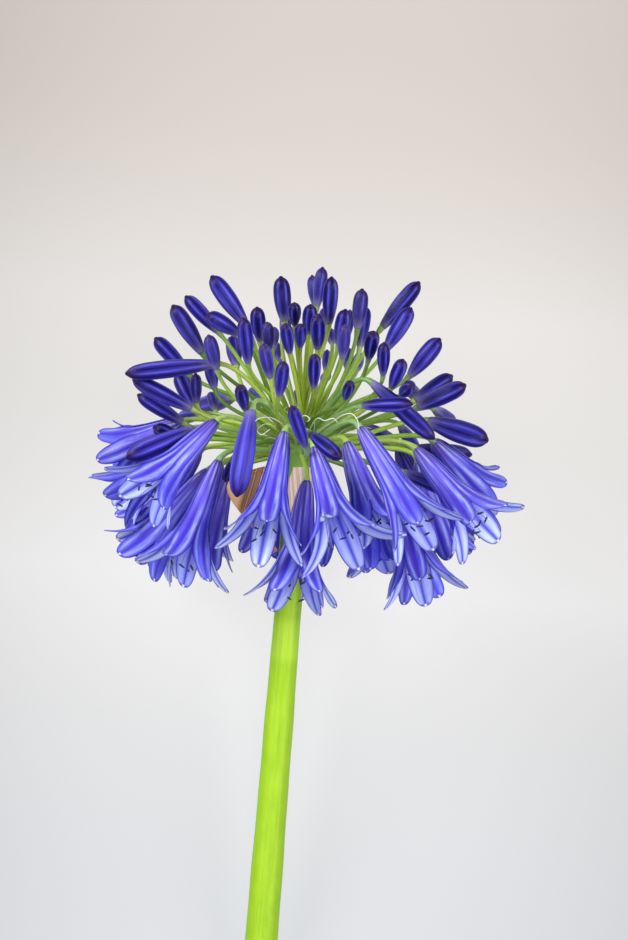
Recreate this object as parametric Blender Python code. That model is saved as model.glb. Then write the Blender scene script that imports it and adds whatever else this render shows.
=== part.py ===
"""African lily: one cut agapanthus umbel on its green stalk, lying on its side.

Every place below is written in millimetres in the head's own frame: the crown, where all the flower
stalks start, is the origin, x runs across the head, y up the flower and z out of the side that faces up.
The whole flower is laid down at the end, so that it rests on the cut end and on two long buds.
"""

import math

import bmesh
import bpy
import numpy as np
from mathutils import Matrix, Vector
from mathutils.kdtree import KDTree

MM = 0.001

# The green stalk and the receptacle on top of it
STALK_LENGTH = 203.0
STALK_RADIUS_TOP = 4.9
STALK_RADIUS_CUT = 6.1
CROWN_RADIUS = 8.0
STALK_SIDES = 12

# How the flower lies: the stalk leans across the view and slopes down to its cut end
STALK_LEAN = math.radians(4.6)
LIE_SLOPE = math.radians(15.0)
CROWN_PLACE = (-2.4, 68.3)

# Flower stalks
PEDICEL_RADIUS = 0.95
PEDICEL_SIDES = 5
LONE_STEPS = (0.0, 0.34, 0.68, 0.92, 1.0)
CROWN_STEPS = (0.0, 0.33, 0.66, 1.0)
ROOT_HANDLE = 0.30
END_HANDLE = 0.20
ROOT_RADIUS = 6.0
FOOT_SEAT = CROWN_RADIUS + 0.35
FOOT_HEIGHT = 2.2
FOOT_RADIUS = 1.9
SEAT_GAP = 0.3
WELD = 0.005

# Buds
LONE_BUD_SIDES = 6
LONE_BUD_ROWS = (0.0, 0.13, 0.34, 0.6, 0.82, 0.94)
CROWN_BUD_ROWS = (0.26, 0.62, 0.88)
BUD_NECK_RADIUS = 1.2
BUD_NECK_SHARE = 0.45
BUD_FULLEST = 0.6

# Open flowers
BLOOM_THICKNESS = 0.75
FOOT_OF_TUBE_RADIUS = 1.35
THROAT_RADIUS = 2.7
TUBE_RADIUS = 4.6
MOUTH_AT = 0.47
PETALS = 6
PETAL_ROWS = (0.70, 0.92)
PETAL_CLEAR = 0.55
LEAST_HALF_WIDTH = 0.8

# Settling: how the flowers press one another apart
SETTLE_STEPS = 320
SETTLE_FREE_STEPS = 60
SETTLE_SPARE = 0.22
FLOOR_SPARE = 1.2
REST_BUDS = ("bud_rest_left", "bud_rest_right")

# Long buds that stand apart: name, base, tip, widest
LONE_BUDS = (
    ("bud_left_long", (-31, 29, 20), (-62.5, 25.5, 24), 6.5),
    ("bud_left_low", (-38.2, 5.6, 26), (-62.1, -4.6, 34), 7.0),
    ("bud_hanging", (-17.9, 12.5, 40), (-22.8, -18, 48), 7.9),
    ("bud_front_pale", (1.6, -0.6, 46), (-3.2, 13.5, 57), 5.0),
    ("bud_front_dark", (3.8, 3.8, 47), (14, -4.8, 58), 5.5),
    ("bud_right_front", (22, 14, 38), (39.5, 14.5, 44), 5.5),
    ("bud_right_drooping", (27.3, 24, 28), (48.5, 3.2, 34), 6.0),
    ("bud_right_opening", (46, 8.5, 4), (67, 1.5, 8), 8.0),
    ("bud_right_low", (37, -10, 22), (63.7, -20.2, 26), 6.0),
    ("bud_rest_left", (-25, 18, -38), (-37, 15, -60), 7.0),
    ("bud_rest_right", (26, 18, -38), (38, 16, -60), 7.0),
)

# Crown buds: the bunch they belong to, base, tip, widest
CROWN_BUDS = (
    ("left_high", (-20, 43.5, 8), (-32, 60.5, 10), 6.5),
    ("left_high", (-30, 41, -4), (-41.5, 53.5, -6), 5.5),
    ("left_high", (-35.5, 33.2, 6), (-46, 50, 8), 6.5),
    ("left_high", (-22.5, 40, 16), (-33.5, 46.7, 19), 6.0),
    ("left_high", (-41, 26, -6), (-52.5, 38.5, -8), 6.0),
    ("left_front", (-30.2, 27.3, 22), (-33, 39, 28), 5.0),
    ("left_back", (-23.4, 28.5, -26), (-25, 39.3, -34), 5.5),
    ("left_side", (-39.5, 13, 14), (-60, 23.5, 20), 6.0),
    ("left_side", (-42.7, 8.2, 4), (-58.5, 18, 4), 5.5),
    ("left_side", (-38.5, 13.5, -12), (-44.5, 26, -16), 6.0),
    ("left_front", (-37.5, 15, 8), (-37.8, 25.5, 10), 4.3),
    ("left_front", (-31, 20.3, 12), (-33, 30, 12), 4.5),
    ("left_back", (-31, 12.5, -30), (-33, 19, -38), 3.5),
    ("left_back", (-36, 11.5, -20), (-44, 10, -34), 5.0),
    ("left_side", (-42, 1, 6), (-52.8, 6.5, 8), 5.5),
    ("top_left", (-18.9, 29.5, 28), (-20.4, 45, 36), 5.5),
    ("top_left", (-14.8, 37.5, 20), (-15.7, 49, 26), 5.3),
    ("top_left", (-11.5, 34, 26), (-12, 43.5, 33), 4.5),
    ("top_back", (-10.5, 34.5, -24), (-10, 42.5, -32), 4.5),
    ("front_left", (-11, 24, 36), (-13.3, 35.7, 43), 4.9),
    ("top_back", (-8.8, 30, -30), (-9, 37, -38), 3.8),
    ("top", (-6, 44.5, 6), (-7.2, 60.3, 8), 6.0),
    ("top_back", (-6.5, 41, -18), (-4, 50, -24), 5.0),
    ("top", (-2.2, 43, 14), (-2.3, 50.7, 19), 4.5),
    ("front", (-4, 33, 30), (-5.5, 43, 38), 4.8),
    ("front", (-0.3, 35, 28), (0, 42.8, 36), 4.3),
    ("top", (5, 50.5, -8), (4, 61, -10), 4.2),
    ("top", (5.8, 50, 2), (7.8, 63.7, 3), 4.8),
    ("top", (10, 43.5, 12), (11, 60, 16), 5.5),
    ("top", (2.6, 40, 18), (3.5, 50, 23), 5.0),
    ("top_back", (8, 40, -20), (8.5, 49.5, -26), 4.0),
    ("top_right", (6, 34.5, 30), (6.2, 46.3, 38), 5.5),
    ("top_right", (13.5, 36, 16), (16, 48.3, 20), 5.5),
    ("right_back", (16, 38, -18), (17.8, 48.7, -24), 4.5),
    ("top_right", (14.8, 31, 31), (15.8, 42.5, 39), 4.6),
    ("back", (8.8, 27, -34), (9.5, 34.5, -42), 3.0),
    ("front", (4.6, 20.5, 40), (5, 32, 48), 4.7),
    ("back", (11.3, 36.5, -26), (10.5, 42, -33), 3.5),
    ("back", (7.7, 23, -36), (9.8, 26, -46), 3.5),
    ("front_left", (-7.8, 17.5, 42), (-6, 29.3, 49), 5.0),
    ("front_left", (-19.7, 12.5, 40), (-21.5, 20.7, 50), 4.7),
    ("front", (15.8, 16.4, 40), (17.8, 22.2, 49), 4.0),
    ("front_left", (-25, -6, 22), (-27, -13, 26), 3.5),
    ("right_high", (20.3, 41.8, 8), (22, 55.8, 10), 5.3),
    ("right_back", (21.3, 35.5, -22), (23.5, 50, -28), 5.0),
    ("right_high", (29.3, 42.5, 0), (42.5, 58.5, 0), 6.0),
    ("right_high", (30.7, 34.5, 12), (39.5, 49, 15), 6.0),
    ("right_high", (39.2, 25, 10), (49.8, 38, 13), 6.3),
    ("right_front", (24.3, 31, 24), (26, 40.3, 31), 5.3),
    ("right_front", (29.4, 25, 27), (29.7, 36.3, 33), 4.5),
    ("right_back", (17, 27.5, -32), (17.5, 35, -40), 4.0),
    ("right_back", (20, 27, -28), (21, 33, -38), 4.0),
    ("right_front", (32.5, 20.5, 24), (36.5, 30.3, 30), 5.2),
    ("right_side", (41, 16, -10), (54.5, 25, -13), 6.0),
    ("right_side", (42, 13.5, 8), (59, 21.5, 10), 6.5),
    ("right_side", (35, 17, 30), (39, 21, 43), 5.0),
    ("right_low_back", (37.5, 22, -16), (43, 17, -34), 5.0),
    ("right_side", (40, -1.5, -12), (61.5, -3.5, -16), 6.0),
    ("right_side", (48, 13, -8), (55, 8.5, -24), 5.0),
    ("right_low_back", (23, 7, -40), (36, -1, -50), 6.0),
    ("right_low_back", (36, 7, -28), (42, -2, -40), 5.0),
    ("back", (0, 14, -42), (-1, 20, -54), 4.5),
    ("back", (11, 11, -43), (14, 13, -56), 4.5),
    ("back_left", (-14, 15, -40), (-18, 20, -52), 5.0),
    ("back_left", (-20, 6, -40), (-26, 6, -53), 5.0),
    ("back_left", (-8, 24, -36), (-9, 32, -46), 4.5),
    ("back_left", (-3, 8, -44), (-5, 5, -55), 5.0),
)

# Open flowers: name, base, middle of the mouth at the petals' tips, spread, turn in degrees
BLOOMS = (
    ("bloom_left_front", (-30.3, 8.3, 30), (-58, -21, 40), 15.0, 3),
    ("bloom_left_low", (-29.5, -5.7, 32), (-45, -47, 40), 16.0, 45),
    ("bloom_left_side", (-41.8, 8.3, -4), (-67, -3, -26), 9.5, 30),
    ("bloom_left_middle", (-39, 0.4, 14), (-69, -21.5, 12), 13.0, 40),
    ("bloom_left_inner", (-36, -4, 2), (-57, -29, -14), 13.0, 15),
    ("bloom_left_bottom", (-33, -9, 6), (-59, -43, 4), 14.0, 0),
    ("bloom_left_hidden", (-42, 3, -14), (-62, -13, -38), 12.0, 30),
    ("bloom_left_behind", (-27, -12, -6), (-36, -43, -13), 11.5, 10),
    ("bloom_centre_left", (-5.9, 4.2, 38), (-13.9, -37, 60), 15.5, 30),
    ("bloom_centre_low", (2.1, -13.1, 24), (-2.5, -57, 38), 15.0, 0),
    ("bloom_centre_right", (4.7, -1.3, 38), (16, -38, 62), 15.5, 40),
    ("bloom_right_inner", (16.5, 0.7, 24), (29, -33, 34), 13.0, 0),
    ("bloom_centre_hidden", (22, -13, 14), (29, -46, 18), 12.0, 45),
    ("bloom_right_grey", (22.5, -9, -8), (32, -42, -22), 12.0, 15),
    ("bloom_right_front", (21.1, 5.9, 38), (45, -34, 54), 15.0, 30),
    ("bloom_right_low", (33, -12, 14), (43, -54, 26), 15.0, 30),
    ("bloom_right_middle", (42, -6, 0), (51, -40, -8), 13.0, 25),
    ("bloom_right_outer", (41.5, -1.8, 18), (66.5, -32, 34), 14.2, 37),
    ("bloom_right_side", (47.8, 0.4, -2), (66, -19, -20), 10.0, 30),
    ("bloom_right_hidden", (36.8, -1.8, -14), (50, -33, -32), 12.0, 40),
)

# Hidden side: each of these stands behind the flower it repeats, pressed flatter by the surface
HIDDEN_COPIES = (
    "bloom_left_low",
    "bloom_left_bottom",
    "bloom_centre_left",
    "bloom_centre_low",
    "bloom_centre_right",
    "bloom_right_low",
    "bloom_right_outer",
)
HIDDEN_DEPTH = -0.72
HIDDEN_SPREAD = 0.8

# Dry bracts: middle line and half width at each place
SPATHE_THICKNESS = 0.65
SPATHE_LEFT = (
    ((-7.6, -7, 4.5), 1.6),
    ((-13.0, -9, 7.0), 5.6),
    ((-17.6, -13, 8.5), 9.6),
    ((-17.4, -19, 9.0), 8.6),
    ((-15.0, -26, 8.5), 5.4),
    ((-12.0, -33, 7.5), 2.8),
    ((-9.5, -38, 6.5), 0.8),
)
SPATHE_RIGHT = (
    ((0.6, -8, 7.3), 3.2),
    ((0.2, -12, 7.0), 4.4),
    ((-0.6, -17, 6.6), 4.4),
    ((-1.6, -22.5, 6.3), 2.6),
    ((-2.4, -27, 6.1), 0.8),
)


def lie_down():
    """The turn from the head's frame to the frame of the surface that the flower lies on."""
    return Matrix.Rotation(LIE_SLOPE, 3, "X") @ Matrix.Rotation(STALK_LEAN, 3, "Z")


def crown_height():
    """How high the crown is held when the rim of the cut end touches the surface."""
    return STALK_LENGTH * math.sin(LIE_SLOPE) + STALK_RADIUS_CUT * math.cos(LIE_SLOPE)


TURN = np.array(lie_down())
CROWN = np.array((CROWN_PLACE[0], CROWN_PLACE[1], crown_height()))


def unit(vector):
    """The same direction, one long."""
    return vector / max(np.linalg.norm(vector), 1e-9)


def side_axes(direction, turn=0.0):
    """Two directions square to this one, turned about it."""
    first = np.cross(direction, (0.0, 0.0, 1.0))
    if np.linalg.norm(first) < 0.1:
        first = np.cross(direction, (1.0, 0.0, 0.0))
    first = unit(first)
    second = np.cross(direction, first)
    swing = math.radians(turn)
    return (
        first * math.cos(swing) + second * math.sin(swing),
        second * math.cos(swing) - first * math.sin(swing),
    )


def bud_radius(along, widest):
    """Radius of a closed bud: a slim neck, fullest past its middle, then drawn in to a blunt point."""
    if along < BUD_FULLEST:
        rise = math.sin(0.5 * math.pi * along / BUD_FULLEST) ** 0.9
        return 0.5 * widest * (BUD_NECK_SHARE + (1.0 - BUD_NECK_SHARE) * rise)
    past = min((along - BUD_FULLEST) / (1.0 - BUD_FULLEST), 1.0)
    return 0.5 * widest * (1.0 - past ** 3) ** 0.6


def petal_radius(along, spread):
    """Distance from the axis of a petal's middle line, from the mouth of the tube to its tip."""
    past = (along - MOUTH_AT) / (1.0 - MOUTH_AT)
    return TUBE_RADIUS + (spread - TUBE_RADIUS) * (0.45 * past + 0.55 * past * past)


def petal_half_width(along):
    """Half the width of a petal between the mouth and its tip."""
    past = (along - MOUTH_AT) / (1.0 - MOUTH_AT)
    return 2.5 + 3.0 * past * (1.25 - past)


class Floret:
    """One flower or bud with its stalk, as it is first placed."""

    def __init__(self, node, base, tip, size, kind, turn=0.0):
        self.node = node
        self.base = np.array(base, float)
        self.tip = np.array(tip, float)
        self.size = size
        self.kind = kind
        self.turn = turn
        self.length = float(np.linalg.norm(self.tip - self.base))
        self.reach = float(np.linalg.norm(self.base))
        self.bends = [np.zeros(3) for _ in range(PETALS)]


def all_florets():
    """Every floret of the head, from the lists above."""
    florets = [Floret(name, base, tip, wide, "lone") for name, base, tip, wide in LONE_BUDS]
    florets += [Floret("buds_" + group, base, tip, wide, "crown") for group, base, tip, wide in CROWN_BUDS]
    for name, base, tip, spread, turn in BLOOMS:
        florets.append(Floret(name, base, tip, spread, "bloom", turn))
        if name in HIDDEN_COPIES:
            back = [np.array((x, y, z * HIDDEN_DEPTH)) for x, y, z in (base, tip)]
            florets.append(
                Floret(name + "_back", *back, spread * HIDDEN_SPREAD, "bloom", turn + 30.0)
            )
    return florets


class Settler:
    """Moves the florets a little until no two of them, nor the surface, press into each other.

    Each floret is held by a few points: root, base, tip, the bow of its stalk and, for an open flower,
    the bend of each petal. Balls spread along it follow these points and push the balls of the others.
    """

    def __init__(self, florets):
        self.florets = florets
        self.points = []
        self.hold = []
        self.balls = []
        self.roots = {}
        self.handles = []
        for number, floret in enumerate(florets):
            self.handles.append(self.add_floret(number, floret))
        self.add_fixed()
        self.points = np.array(self.points)
        self.goal = self.points.copy()
        self.hold = np.array(self.hold)
        self.owner = np.array([ball[0] for ball in self.balls])
        self.radius = np.array([ball[1] for ball in self.balls])
        self.index = np.array([ball[2] for ball in self.balls])
        self.weight = np.array([ball[3] for ball in self.balls])
        self.offset = np.array([ball[4] for ball in self.balls])
        self.kin = [ball[5] for ball in self.balls]

    def add_point(self, place, hold):
        """A point that may move, held to its first place by this much across the view and in depth."""
        self.points.append(np.array(place, float))
        self.hold.append(hold)
        return len(self.points) - 1

    def root_of(self, number, floret):
        """The root's point: one for each lone stalk, one shared by each bunch."""
        key = floret.node if floret.kind == "crown" else number
        if key not in self.roots:
            mates = [f for f in self.florets if f.kind == "crown" and f.node == floret.node] or [floret]
            out = unit(sum(unit(mate.base) for mate in mates))
            radius = FOOT_SEAT if floret.kind == "crown" else ROOT_RADIUS
            self.roots[key] = (self.add_point(out * radius, (0.02, 0.02)), radius)
            if floret.kind == "crown":
                self.add_ball(-1 - len(self.roots), FOOT_RADIUS + 0.2, {self.roots[key][0]: 1.15}, key)
        return self.roots[key]

    def add_ball(self, number, radius, weights, kin, offset=(0.0, 0.0)):
        """A ball that follows up to five points by the given weights."""
        pairs = list(weights.items()) + [(0, 0.0)] * (5 - len(weights))
        index = [pair[0] for pair in pairs]
        weight = [pair[1] for pair in pairs]
        self.balls.append((number, radius, index, weight, offset, kin))

    def add_floret(self, number, floret):
        """The points and balls of one floret."""
        root, root_radius = self.root_of(number, floret)
        base = self.add_point(floret.base, (0.10, 0.02))
        tip = self.add_point(floret.tip, (0.10, 0.02))
        bow = self.add_point((0, 0, 0), (0.02, 0.02))
        steps = CROWN_STEPS if floret.kind == "crown" else LONE_STEPS
        knots = [stalk_weights(t, (root, base, tip, bow), root_radius, floret) for t in steps]
        stalk_kin = floret.node if floret.kind == "crown" else "scape"
        for piece in range(len(steps) - 1):
            count = round(20 * (steps[piece + 1] - steps[piece])) or 1
            for part in range(count):
                share = (part + 0.5) / count
                mixed = {}
                for knot, amount in ((knots[piece], 1 - share), (knots[piece + 1], share)):
                    for key, value in knot.items():
                        mixed[key] = mixed.get(key, 0.0) + value * amount
                self.add_ball(number, PEDICEL_RADIUS + SETTLE_SPARE, mixed, stalk_kin)
        if floret.kind == "bloom":
            return (root, base, tip, bow, self.add_petals(number, floret, base, tip))
        rows = max(4, round(floret.length / (0.5 * floret.size)))
        for row in range(rows):
            along = (row + 0.5) / rows
            radius = bud_radius(along, floret.size) + SETTLE_SPARE
            self.add_ball(number, radius, {base: 1 - along, tip: along}, None)
        return (root, base, tip, bow, ())

    def add_petals(self, number, floret, base, tip):
        """The balls of an open flower: its tube, the room in its mouth, and each petal's face."""
        for along in (0.06, 0.16, 0.27, 0.38, 0.48):
            radius = 1.5 + (TUBE_RADIUS - 1.5) * along / MOUTH_AT + SETTLE_SPARE + 0.3
            self.add_ball(number, radius, {base: 1 - along, tip: along}, None)
        self.add_ball(number, 7.0, {base: 0.26, tip: 0.74}, None)
        bends = []
        for petal in range(PETALS):
            bend = self.add_point((0, 0, 0), (0.03, 0.03))
            bends.append(bend)
            angle = 2 * math.pi * petal / PETALS
            for row in range(6):
                along = MOUTH_AT + (1.0 - MOUTH_AT) * (row + 0.8) / 6.0
                give = ((along - MOUTH_AT) / (1.0 - MOUTH_AT)) ** 1.5
                out = petal_radius(along, floret.size)
                half = 0.0 if row == 5 else petal_half_width(along) * 0.75
                for side in (-1, 0, 1) if half else (0,):
                    flat = (
                        out * math.cos(angle) - side * half * math.sin(angle),
                        out * math.sin(angle) + side * half * math.cos(angle),
                    )
                    weights = {base: 1 - along, tip: along, bend: give}
                    self.add_ball(number, 1.25 + SETTLE_SPARE, weights, None, flat)
        return tuple(bends)

    def add_fixed(self):
        """The crown, the stalk and the dry bracts, which don't give way."""
        for step in range(24):
            place = stalk_point(-4.0 - 3.0 * step)
            still = self.add_point(place, (1.0, 1.0))
            self.add_ball(-1, 5.6 if step else 6.8, {still: 1.0}, "scape")
        still = self.add_point((0, 0, 0), (1.0, 1.0))
        self.add_ball(-1, CROWN_RADIUS + 0.1, {still: 1.0}, "crown")
        for line in (SPATHE_LEFT, SPATHE_RIGHT):
            places = [np.array(place, float) for place, _ in line]
            widths = [half for _, half in line]
            for first, second, wide, next_wide in zip(places, places[1:], widths, widths[1:]):
                for share in (0.0, 0.5):
                    middle = first + (second - first) * share
                    half = wide + (next_wide - wide) * share
                    for side in (-1, -0.5, 0, 0.5, 1):
                        point = middle + np.array((side * half, 0, -0.25 * side * side * half))
                        still = self.add_point(point, (1.0, 1.0))
                        self.add_ball(-2, 1.4, {still: 1.0}, "spathe")

    def axes(self):
        """Each floret's two side directions, as it points now."""
        first = np.zeros((len(self.florets) + 1, 3))
        second = np.zeros((len(self.florets) + 1, 3))
        for number, floret in enumerate(self.florets):
            _, base, tip, _, bends = self.handles[number]
            if bends:
                out = unit(self.points[tip] - self.points[base])
                first[number], second[number] = side_axes(out, floret.turn)
        return first, second

    def places(self, axes):
        """Where every ball is now."""
        placed = np.einsum("bk,bkc->bc", self.weight, self.points[self.index])
        owner = np.where(self.owner < 0, len(self.florets), self.owner)
        placed += self.offset[:, :1] * axes[0][owner] + self.offset[:, 1:] * axes[1][owner]
        return placed

    def neighbours(self, placed, reach):
        """Pairs of balls of different florets that are near enough to touch soon."""
        tree = KDTree(len(placed))
        for number, place in enumerate(placed):
            tree.insert(place, number)
        tree.balance()
        pairs = []
        widest = float(self.radius.max())
        for number, place in enumerate(placed):
            own = self.radius[number]
            for _, other, distance in tree.find_range(place, own + widest + reach):
                if other <= number or distance > own + self.radius[other] + reach:
                    continue
                if self.owner[other] == self.owner[number]:
                    continue
                if self.kin[number] is not None and self.kin[number] == self.kin[other]:
                    continue
                if {self.kin[number], self.kin[other]} == {"scape", "crown"}:
                    continue
                if self.owner[number] < 0 and self.owner[other] < 0 and "spathe" in (
                    self.kin[number], self.kin[other],
                ):
                    continue
                if "crown" in (self.kin[number], self.kin[other]) and np.linalg.norm(place) < 14:
                    continue
                pairs.append((number, other))
        return np.array(pairs).T

    def run(self):
        """Presses the florets apart step by step."""
        down = TURN[2]
        for step in range(SETTLE_STEPS):
            axes = self.axes()
            placed = self.places(axes)
            if step % 10 == 0:
                first, second = self.neighbours(placed, 3.0)
            gap = placed[second] - placed[first]
            distance = np.maximum(np.linalg.norm(gap, axis=1), 1e-6)
            deep = np.maximum(self.radius[first] + self.radius[second] - distance, 0.0)
            push = (0.5 * deep / distance)[:, None] * gap
            moves = np.zeros_like(placed)
            for axis in range(3):
                moves[:, axis] += np.bincount(second, push[:, axis], len(placed))
                moves[:, axis] -= np.bincount(first, push[:, axis], len(placed))
            height = placed @ down + CROWN[2] - self.radius - FLOOR_SPARE
            sunk = np.where(self.owner >= 0, np.maximum(-height, 0.0), 0.0)
            moves += sunk[:, None] * down
            self.follow(moves, step)

    def follow(self, moves, step):
        """Moves the points that the pushed balls hang on, then holds lengths, roots and goals."""
        pushed = (np.abs(moves).sum(axis=1) > 1e-7).astype(float)
        total = np.zeros_like(self.points)
        share = np.full(len(self.points), 1e-9)
        for k in range(self.index.shape[1]):
            for axis in range(3):
                total[:, axis] += np.bincount(
                    self.index[:, k], self.weight[:, k] * moves[:, axis], len(self.points)
                )
            share += np.bincount(self.index[:, k], self.weight[:, k] ** 2 * pushed, len(self.points))
        free = self.hold[:, 0] < 1.0
        shift = total / np.maximum(share, 0.6)[:, None] * 1.2
        self.points[free] += shift[free]
        if step < SETTLE_STEPS - SETTLE_FREE_STEPS:
            pull = (self.goal - self.points) * np.stack(
                (self.hold[:, 0], self.hold[:, 0], self.hold[:, 1]), axis=1
            )
            self.points[free] += pull[free]
        for number, floret in enumerate(self.florets):
            _, base, tip, _, _ = self.handles[number]
            middle = 0.5 * (self.points[base] + self.points[tip])
            half = unit(self.points[tip] - self.points[base]) * floret.length * 0.5
            self.points[base] = middle - half
            self.points[tip] = middle + half
        for root, radius in self.roots.values():
            self.points[root] = unit(self.points[root]) * radius


def stalk_point(y):
    """The middle of the stalk at this height below the crown."""
    return np.array((y * math.tan(STALK_LEAN), y, 0.0))


def stalk_weights(t, handle, root_radius, floret):
    """How the point at t of a flower stalk's curve follows its root, base, tip and bow."""
    root, base, tip, bow = handle[:4]
    near_root = 3 * (1 - t) ** 2 * t
    near_base = 3 * (1 - t) * t * t
    reach = END_HANDLE * floret.reach / floret.length
    return {
        root: (1 - t) ** 3 + near_root * (1 + ROOT_HANDLE * floret.reach / root_radius),
        base: t ** 3 + near_base * (1 + reach),
        tip: -near_base * reach,
        bow: 4 * t * (1 - t),
    }


def curve_point(t, handle, points, root_radius, floret):
    """A point on a settled flower stalk's curve."""
    weights = stalk_weights(t, handle, root_radius, floret)
    return sum(points[index] * amount for index, amount in weights.items())


def ring_frames(path):
    """Two side directions at each point of a path, carried along without twisting."""
    ahead = [unit(second - first) for first, second in zip(path, path[1:])]
    ahead.append(ahead[-1])
    facing = [ahead[0]] + [unit(a + b) for a, b in zip(ahead, ahead[1:])]
    facing[-1] = ahead[-1]
    side = side_axes(facing[0])[0]
    frames = []
    for direction in facing:
        side = unit(side - direction * float(side @ direction))
        frames.append((side, np.cross(direction, side)))
    return frames


def loft(bm, path, radii, sides, end=None):
    """Adds one closed body with a round section at each point of the path, and a point at its end."""
    frames = ring_frames(path)
    rings = []
    for place, radius, (side, up) in zip(path, radii, frames):
        ring = []
        for k in range(sides):
            angle = 2 * math.pi * k / sides
            ring.append(bm.verts.new(place + radius * (side * math.cos(angle) + up * math.sin(angle))))
        rings.append(ring)
    for ring, after in zip(rings, rings[1:]):
        for k in range(sides):
            j = (k + 1) % sides
            bm.faces.new((ring[k], ring[j], after[j], after[k]))
    bm.faces.new(list(reversed(rings[0])))
    if end is None:
        bm.faces.new(rings[-1])
        return
    point = bm.verts.new(end)
    for k in range(sides):
        bm.faces.new((rings[-1][k], rings[-1][(k + 1) % sides], point))


def stalk_path(steps, handle, points, root_radius, floret):
    """The points of a flower stalk from its root to its end."""
    return [curve_point(t, handle, points, root_radius, floret) for t in steps]


def bud_rows(base, tip, widest, alongs):
    """Places and radii of a bud's sections."""
    return [base + (tip - base) * a for a in alongs], [bud_radius(a, widest) for a in alongs]


def finish(name, bm, material):
    """Turns the mesh, in the head's frame and millimetres, into an object laid on the surface."""
    for vert in bm.verts:
        placed = (TURN @ np.array(vert.co) + CROWN) * MM
        vert.co = Vector(placed)
    bmesh.ops.recalc_face_normals(bm, faces=bm.faces)
    mesh = bpy.data.meshes.new(name)
    bm.to_mesh(mesh)
    bm.free()
    mesh.shade_smooth()
    mesh.set_sharp_from_angle(angle=math.radians(50))
    obj = bpy.data.objects.new(name, mesh)
    bpy.context.scene.collection.objects.link(obj)
    mesh.materials.append(material)
    return obj


def fuse(name, parts, material):
    """Joins overlapping bodies into one with a Boolean union and removes the pieces."""
    holder = bpy.data.collections.new(name + "_pieces")
    bpy.context.scene.collection.children.link(holder)
    pieces = [finish(f"{name}_piece", bm, material) for bm in parts]
    for piece in pieces[1:]:
        bpy.context.scene.collection.objects.unlink(piece)
        holder.objects.link(piece)
    body = pieces[0]
    union = body.modifiers.new("union", "BOOLEAN")
    union.operation = "UNION"
    union.operand_type = "COLLECTION"
    union.collection = holder
    union.solver = "MANIFOLD"
    graph = bpy.context.evaluated_depsgraph_get()
    mesh = bpy.data.meshes.new_from_object(body.evaluated_get(graph))
    bm = bmesh.new()
    bm.from_mesh(mesh)
    bmesh.ops.remove_doubles(bm, verts=bm.verts, dist=WELD * MM)
    bmesh.ops.dissolve_degenerate(bm, edges=bm.edges, dist=WELD * MM)
    loose = [edge for edge in bm.edges if not edge.link_faces]
    bmesh.ops.delete(bm, geom=loose, context="EDGES")
    bmesh.ops.triangulate(bm, faces=bm.faces)
    bm.to_mesh(mesh)
    bm.free()
    body.modifiers.clear()
    body.data = mesh
    for piece in pieces[1:]:
        bpy.data.objects.remove(piece)
    bpy.data.collections.remove(holder)
    body.name = name
    return body


def paint(name, color, roughness):
    """A plain finish for one piece."""
    material = bpy.data.materials.new(name)
    material.use_nodes = True
    shader = material.node_tree.nodes["Principled BSDF"]
    shader.inputs["Base Color"].default_value = (*color, 1.0)
    shader.inputs["Roughness"].default_value = roughness
    return material


def stalk_mesh():
    """The green stalk with the swollen receptacle on top."""
    bm = bmesh.new()
    along = unit(stalk_point(-1.0)) * -1.0
    rows = [(-STALK_LENGTH, STALK_RADIUS_CUT), (-70.0, STALK_RADIUS_TOP), (-16.0, STALK_RADIUS_TOP)]
    rows += [(-9.0, 6.2), (-4.0, 6.93), (0.0, 8.0), (4.0, 6.93), (6.93, 4.0), (7.75, 1.6)]
    loft(bm, [along * y for y, _ in rows], [radius for _, radius in rows], STALK_SIDES)
    return bm


def make_scape(settler, material):
    """The stalk, its receptacle and the flower stalks of the open flowers and lone buds."""
    parts = [stalk_mesh()]
    for floret, handle in zip(settler.florets, settler.handles):
        if floret.kind == "crown":
            continue
        path = stalk_path(LONE_STEPS, handle, settler.points, ROOT_RADIUS, floret)
        out = unit(settler.points[handle[2]] - settler.points[handle[1]])
        seat = SEAT_GAP + (BLOOM_THICKNESS * 0.5 if floret.kind == "bloom" else 0.0)
        path[-1] = path[-1] - out * seat
        path[-2] = path[-1] - out * float(np.linalg.norm(path[-1] - path[-2]))
        bm = bmesh.new()
        loft(bm, path, [PEDICEL_RADIUS] * len(path), PEDICEL_SIDES)
        parts.append(bm)
    return fuse("scape", parts, material)


def make_spray(node, settler, material):
    """A bunch of crown buds on their own stalks, joined at a foot that sits on the crown."""
    parts = []
    for floret, handle in zip(settler.florets, settler.handles):
        if floret.node != node:
            continue
        points = settler.points
        root = points[handle[0]]
        if not parts:
            foot = bmesh.new()
            loft(foot, [root, root + unit(root) * FOOT_HEIGHT], [FOOT_RADIUS, FOOT_RADIUS * 0.8], 6)
            parts.append(foot)
        path = stalk_path(CROWN_STEPS, handle, points, FOOT_SEAT, floret)
        path[0] = root + unit(root) * 0.6
        radii = [PEDICEL_RADIUS] * len(path)
        tip = points[handle[2]]
        places, rows = bud_rows(points[handle[1]], tip, floret.size, CROWN_BUD_ROWS)
        bm = bmesh.new()
        loft(bm, path + places, radii + rows, PEDICEL_SIDES, tip)
        parts.append(bm)
    return fuse(node, parts, material)


def lone_bud_mesh(floret, handle, points):
    """The body of a long bud that stands apart on a stalk of the scape."""
    tip = points[handle[2]]
    places, rows = bud_rows(points[handle[1]], tip, floret.size, LONE_BUD_ROWS)
    rows[0] = BUD_NECK_RADIUS
    bm = bmesh.new()
    loft(bm, places, rows, LONE_BUD_SIDES, tip)
    return bm


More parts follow.
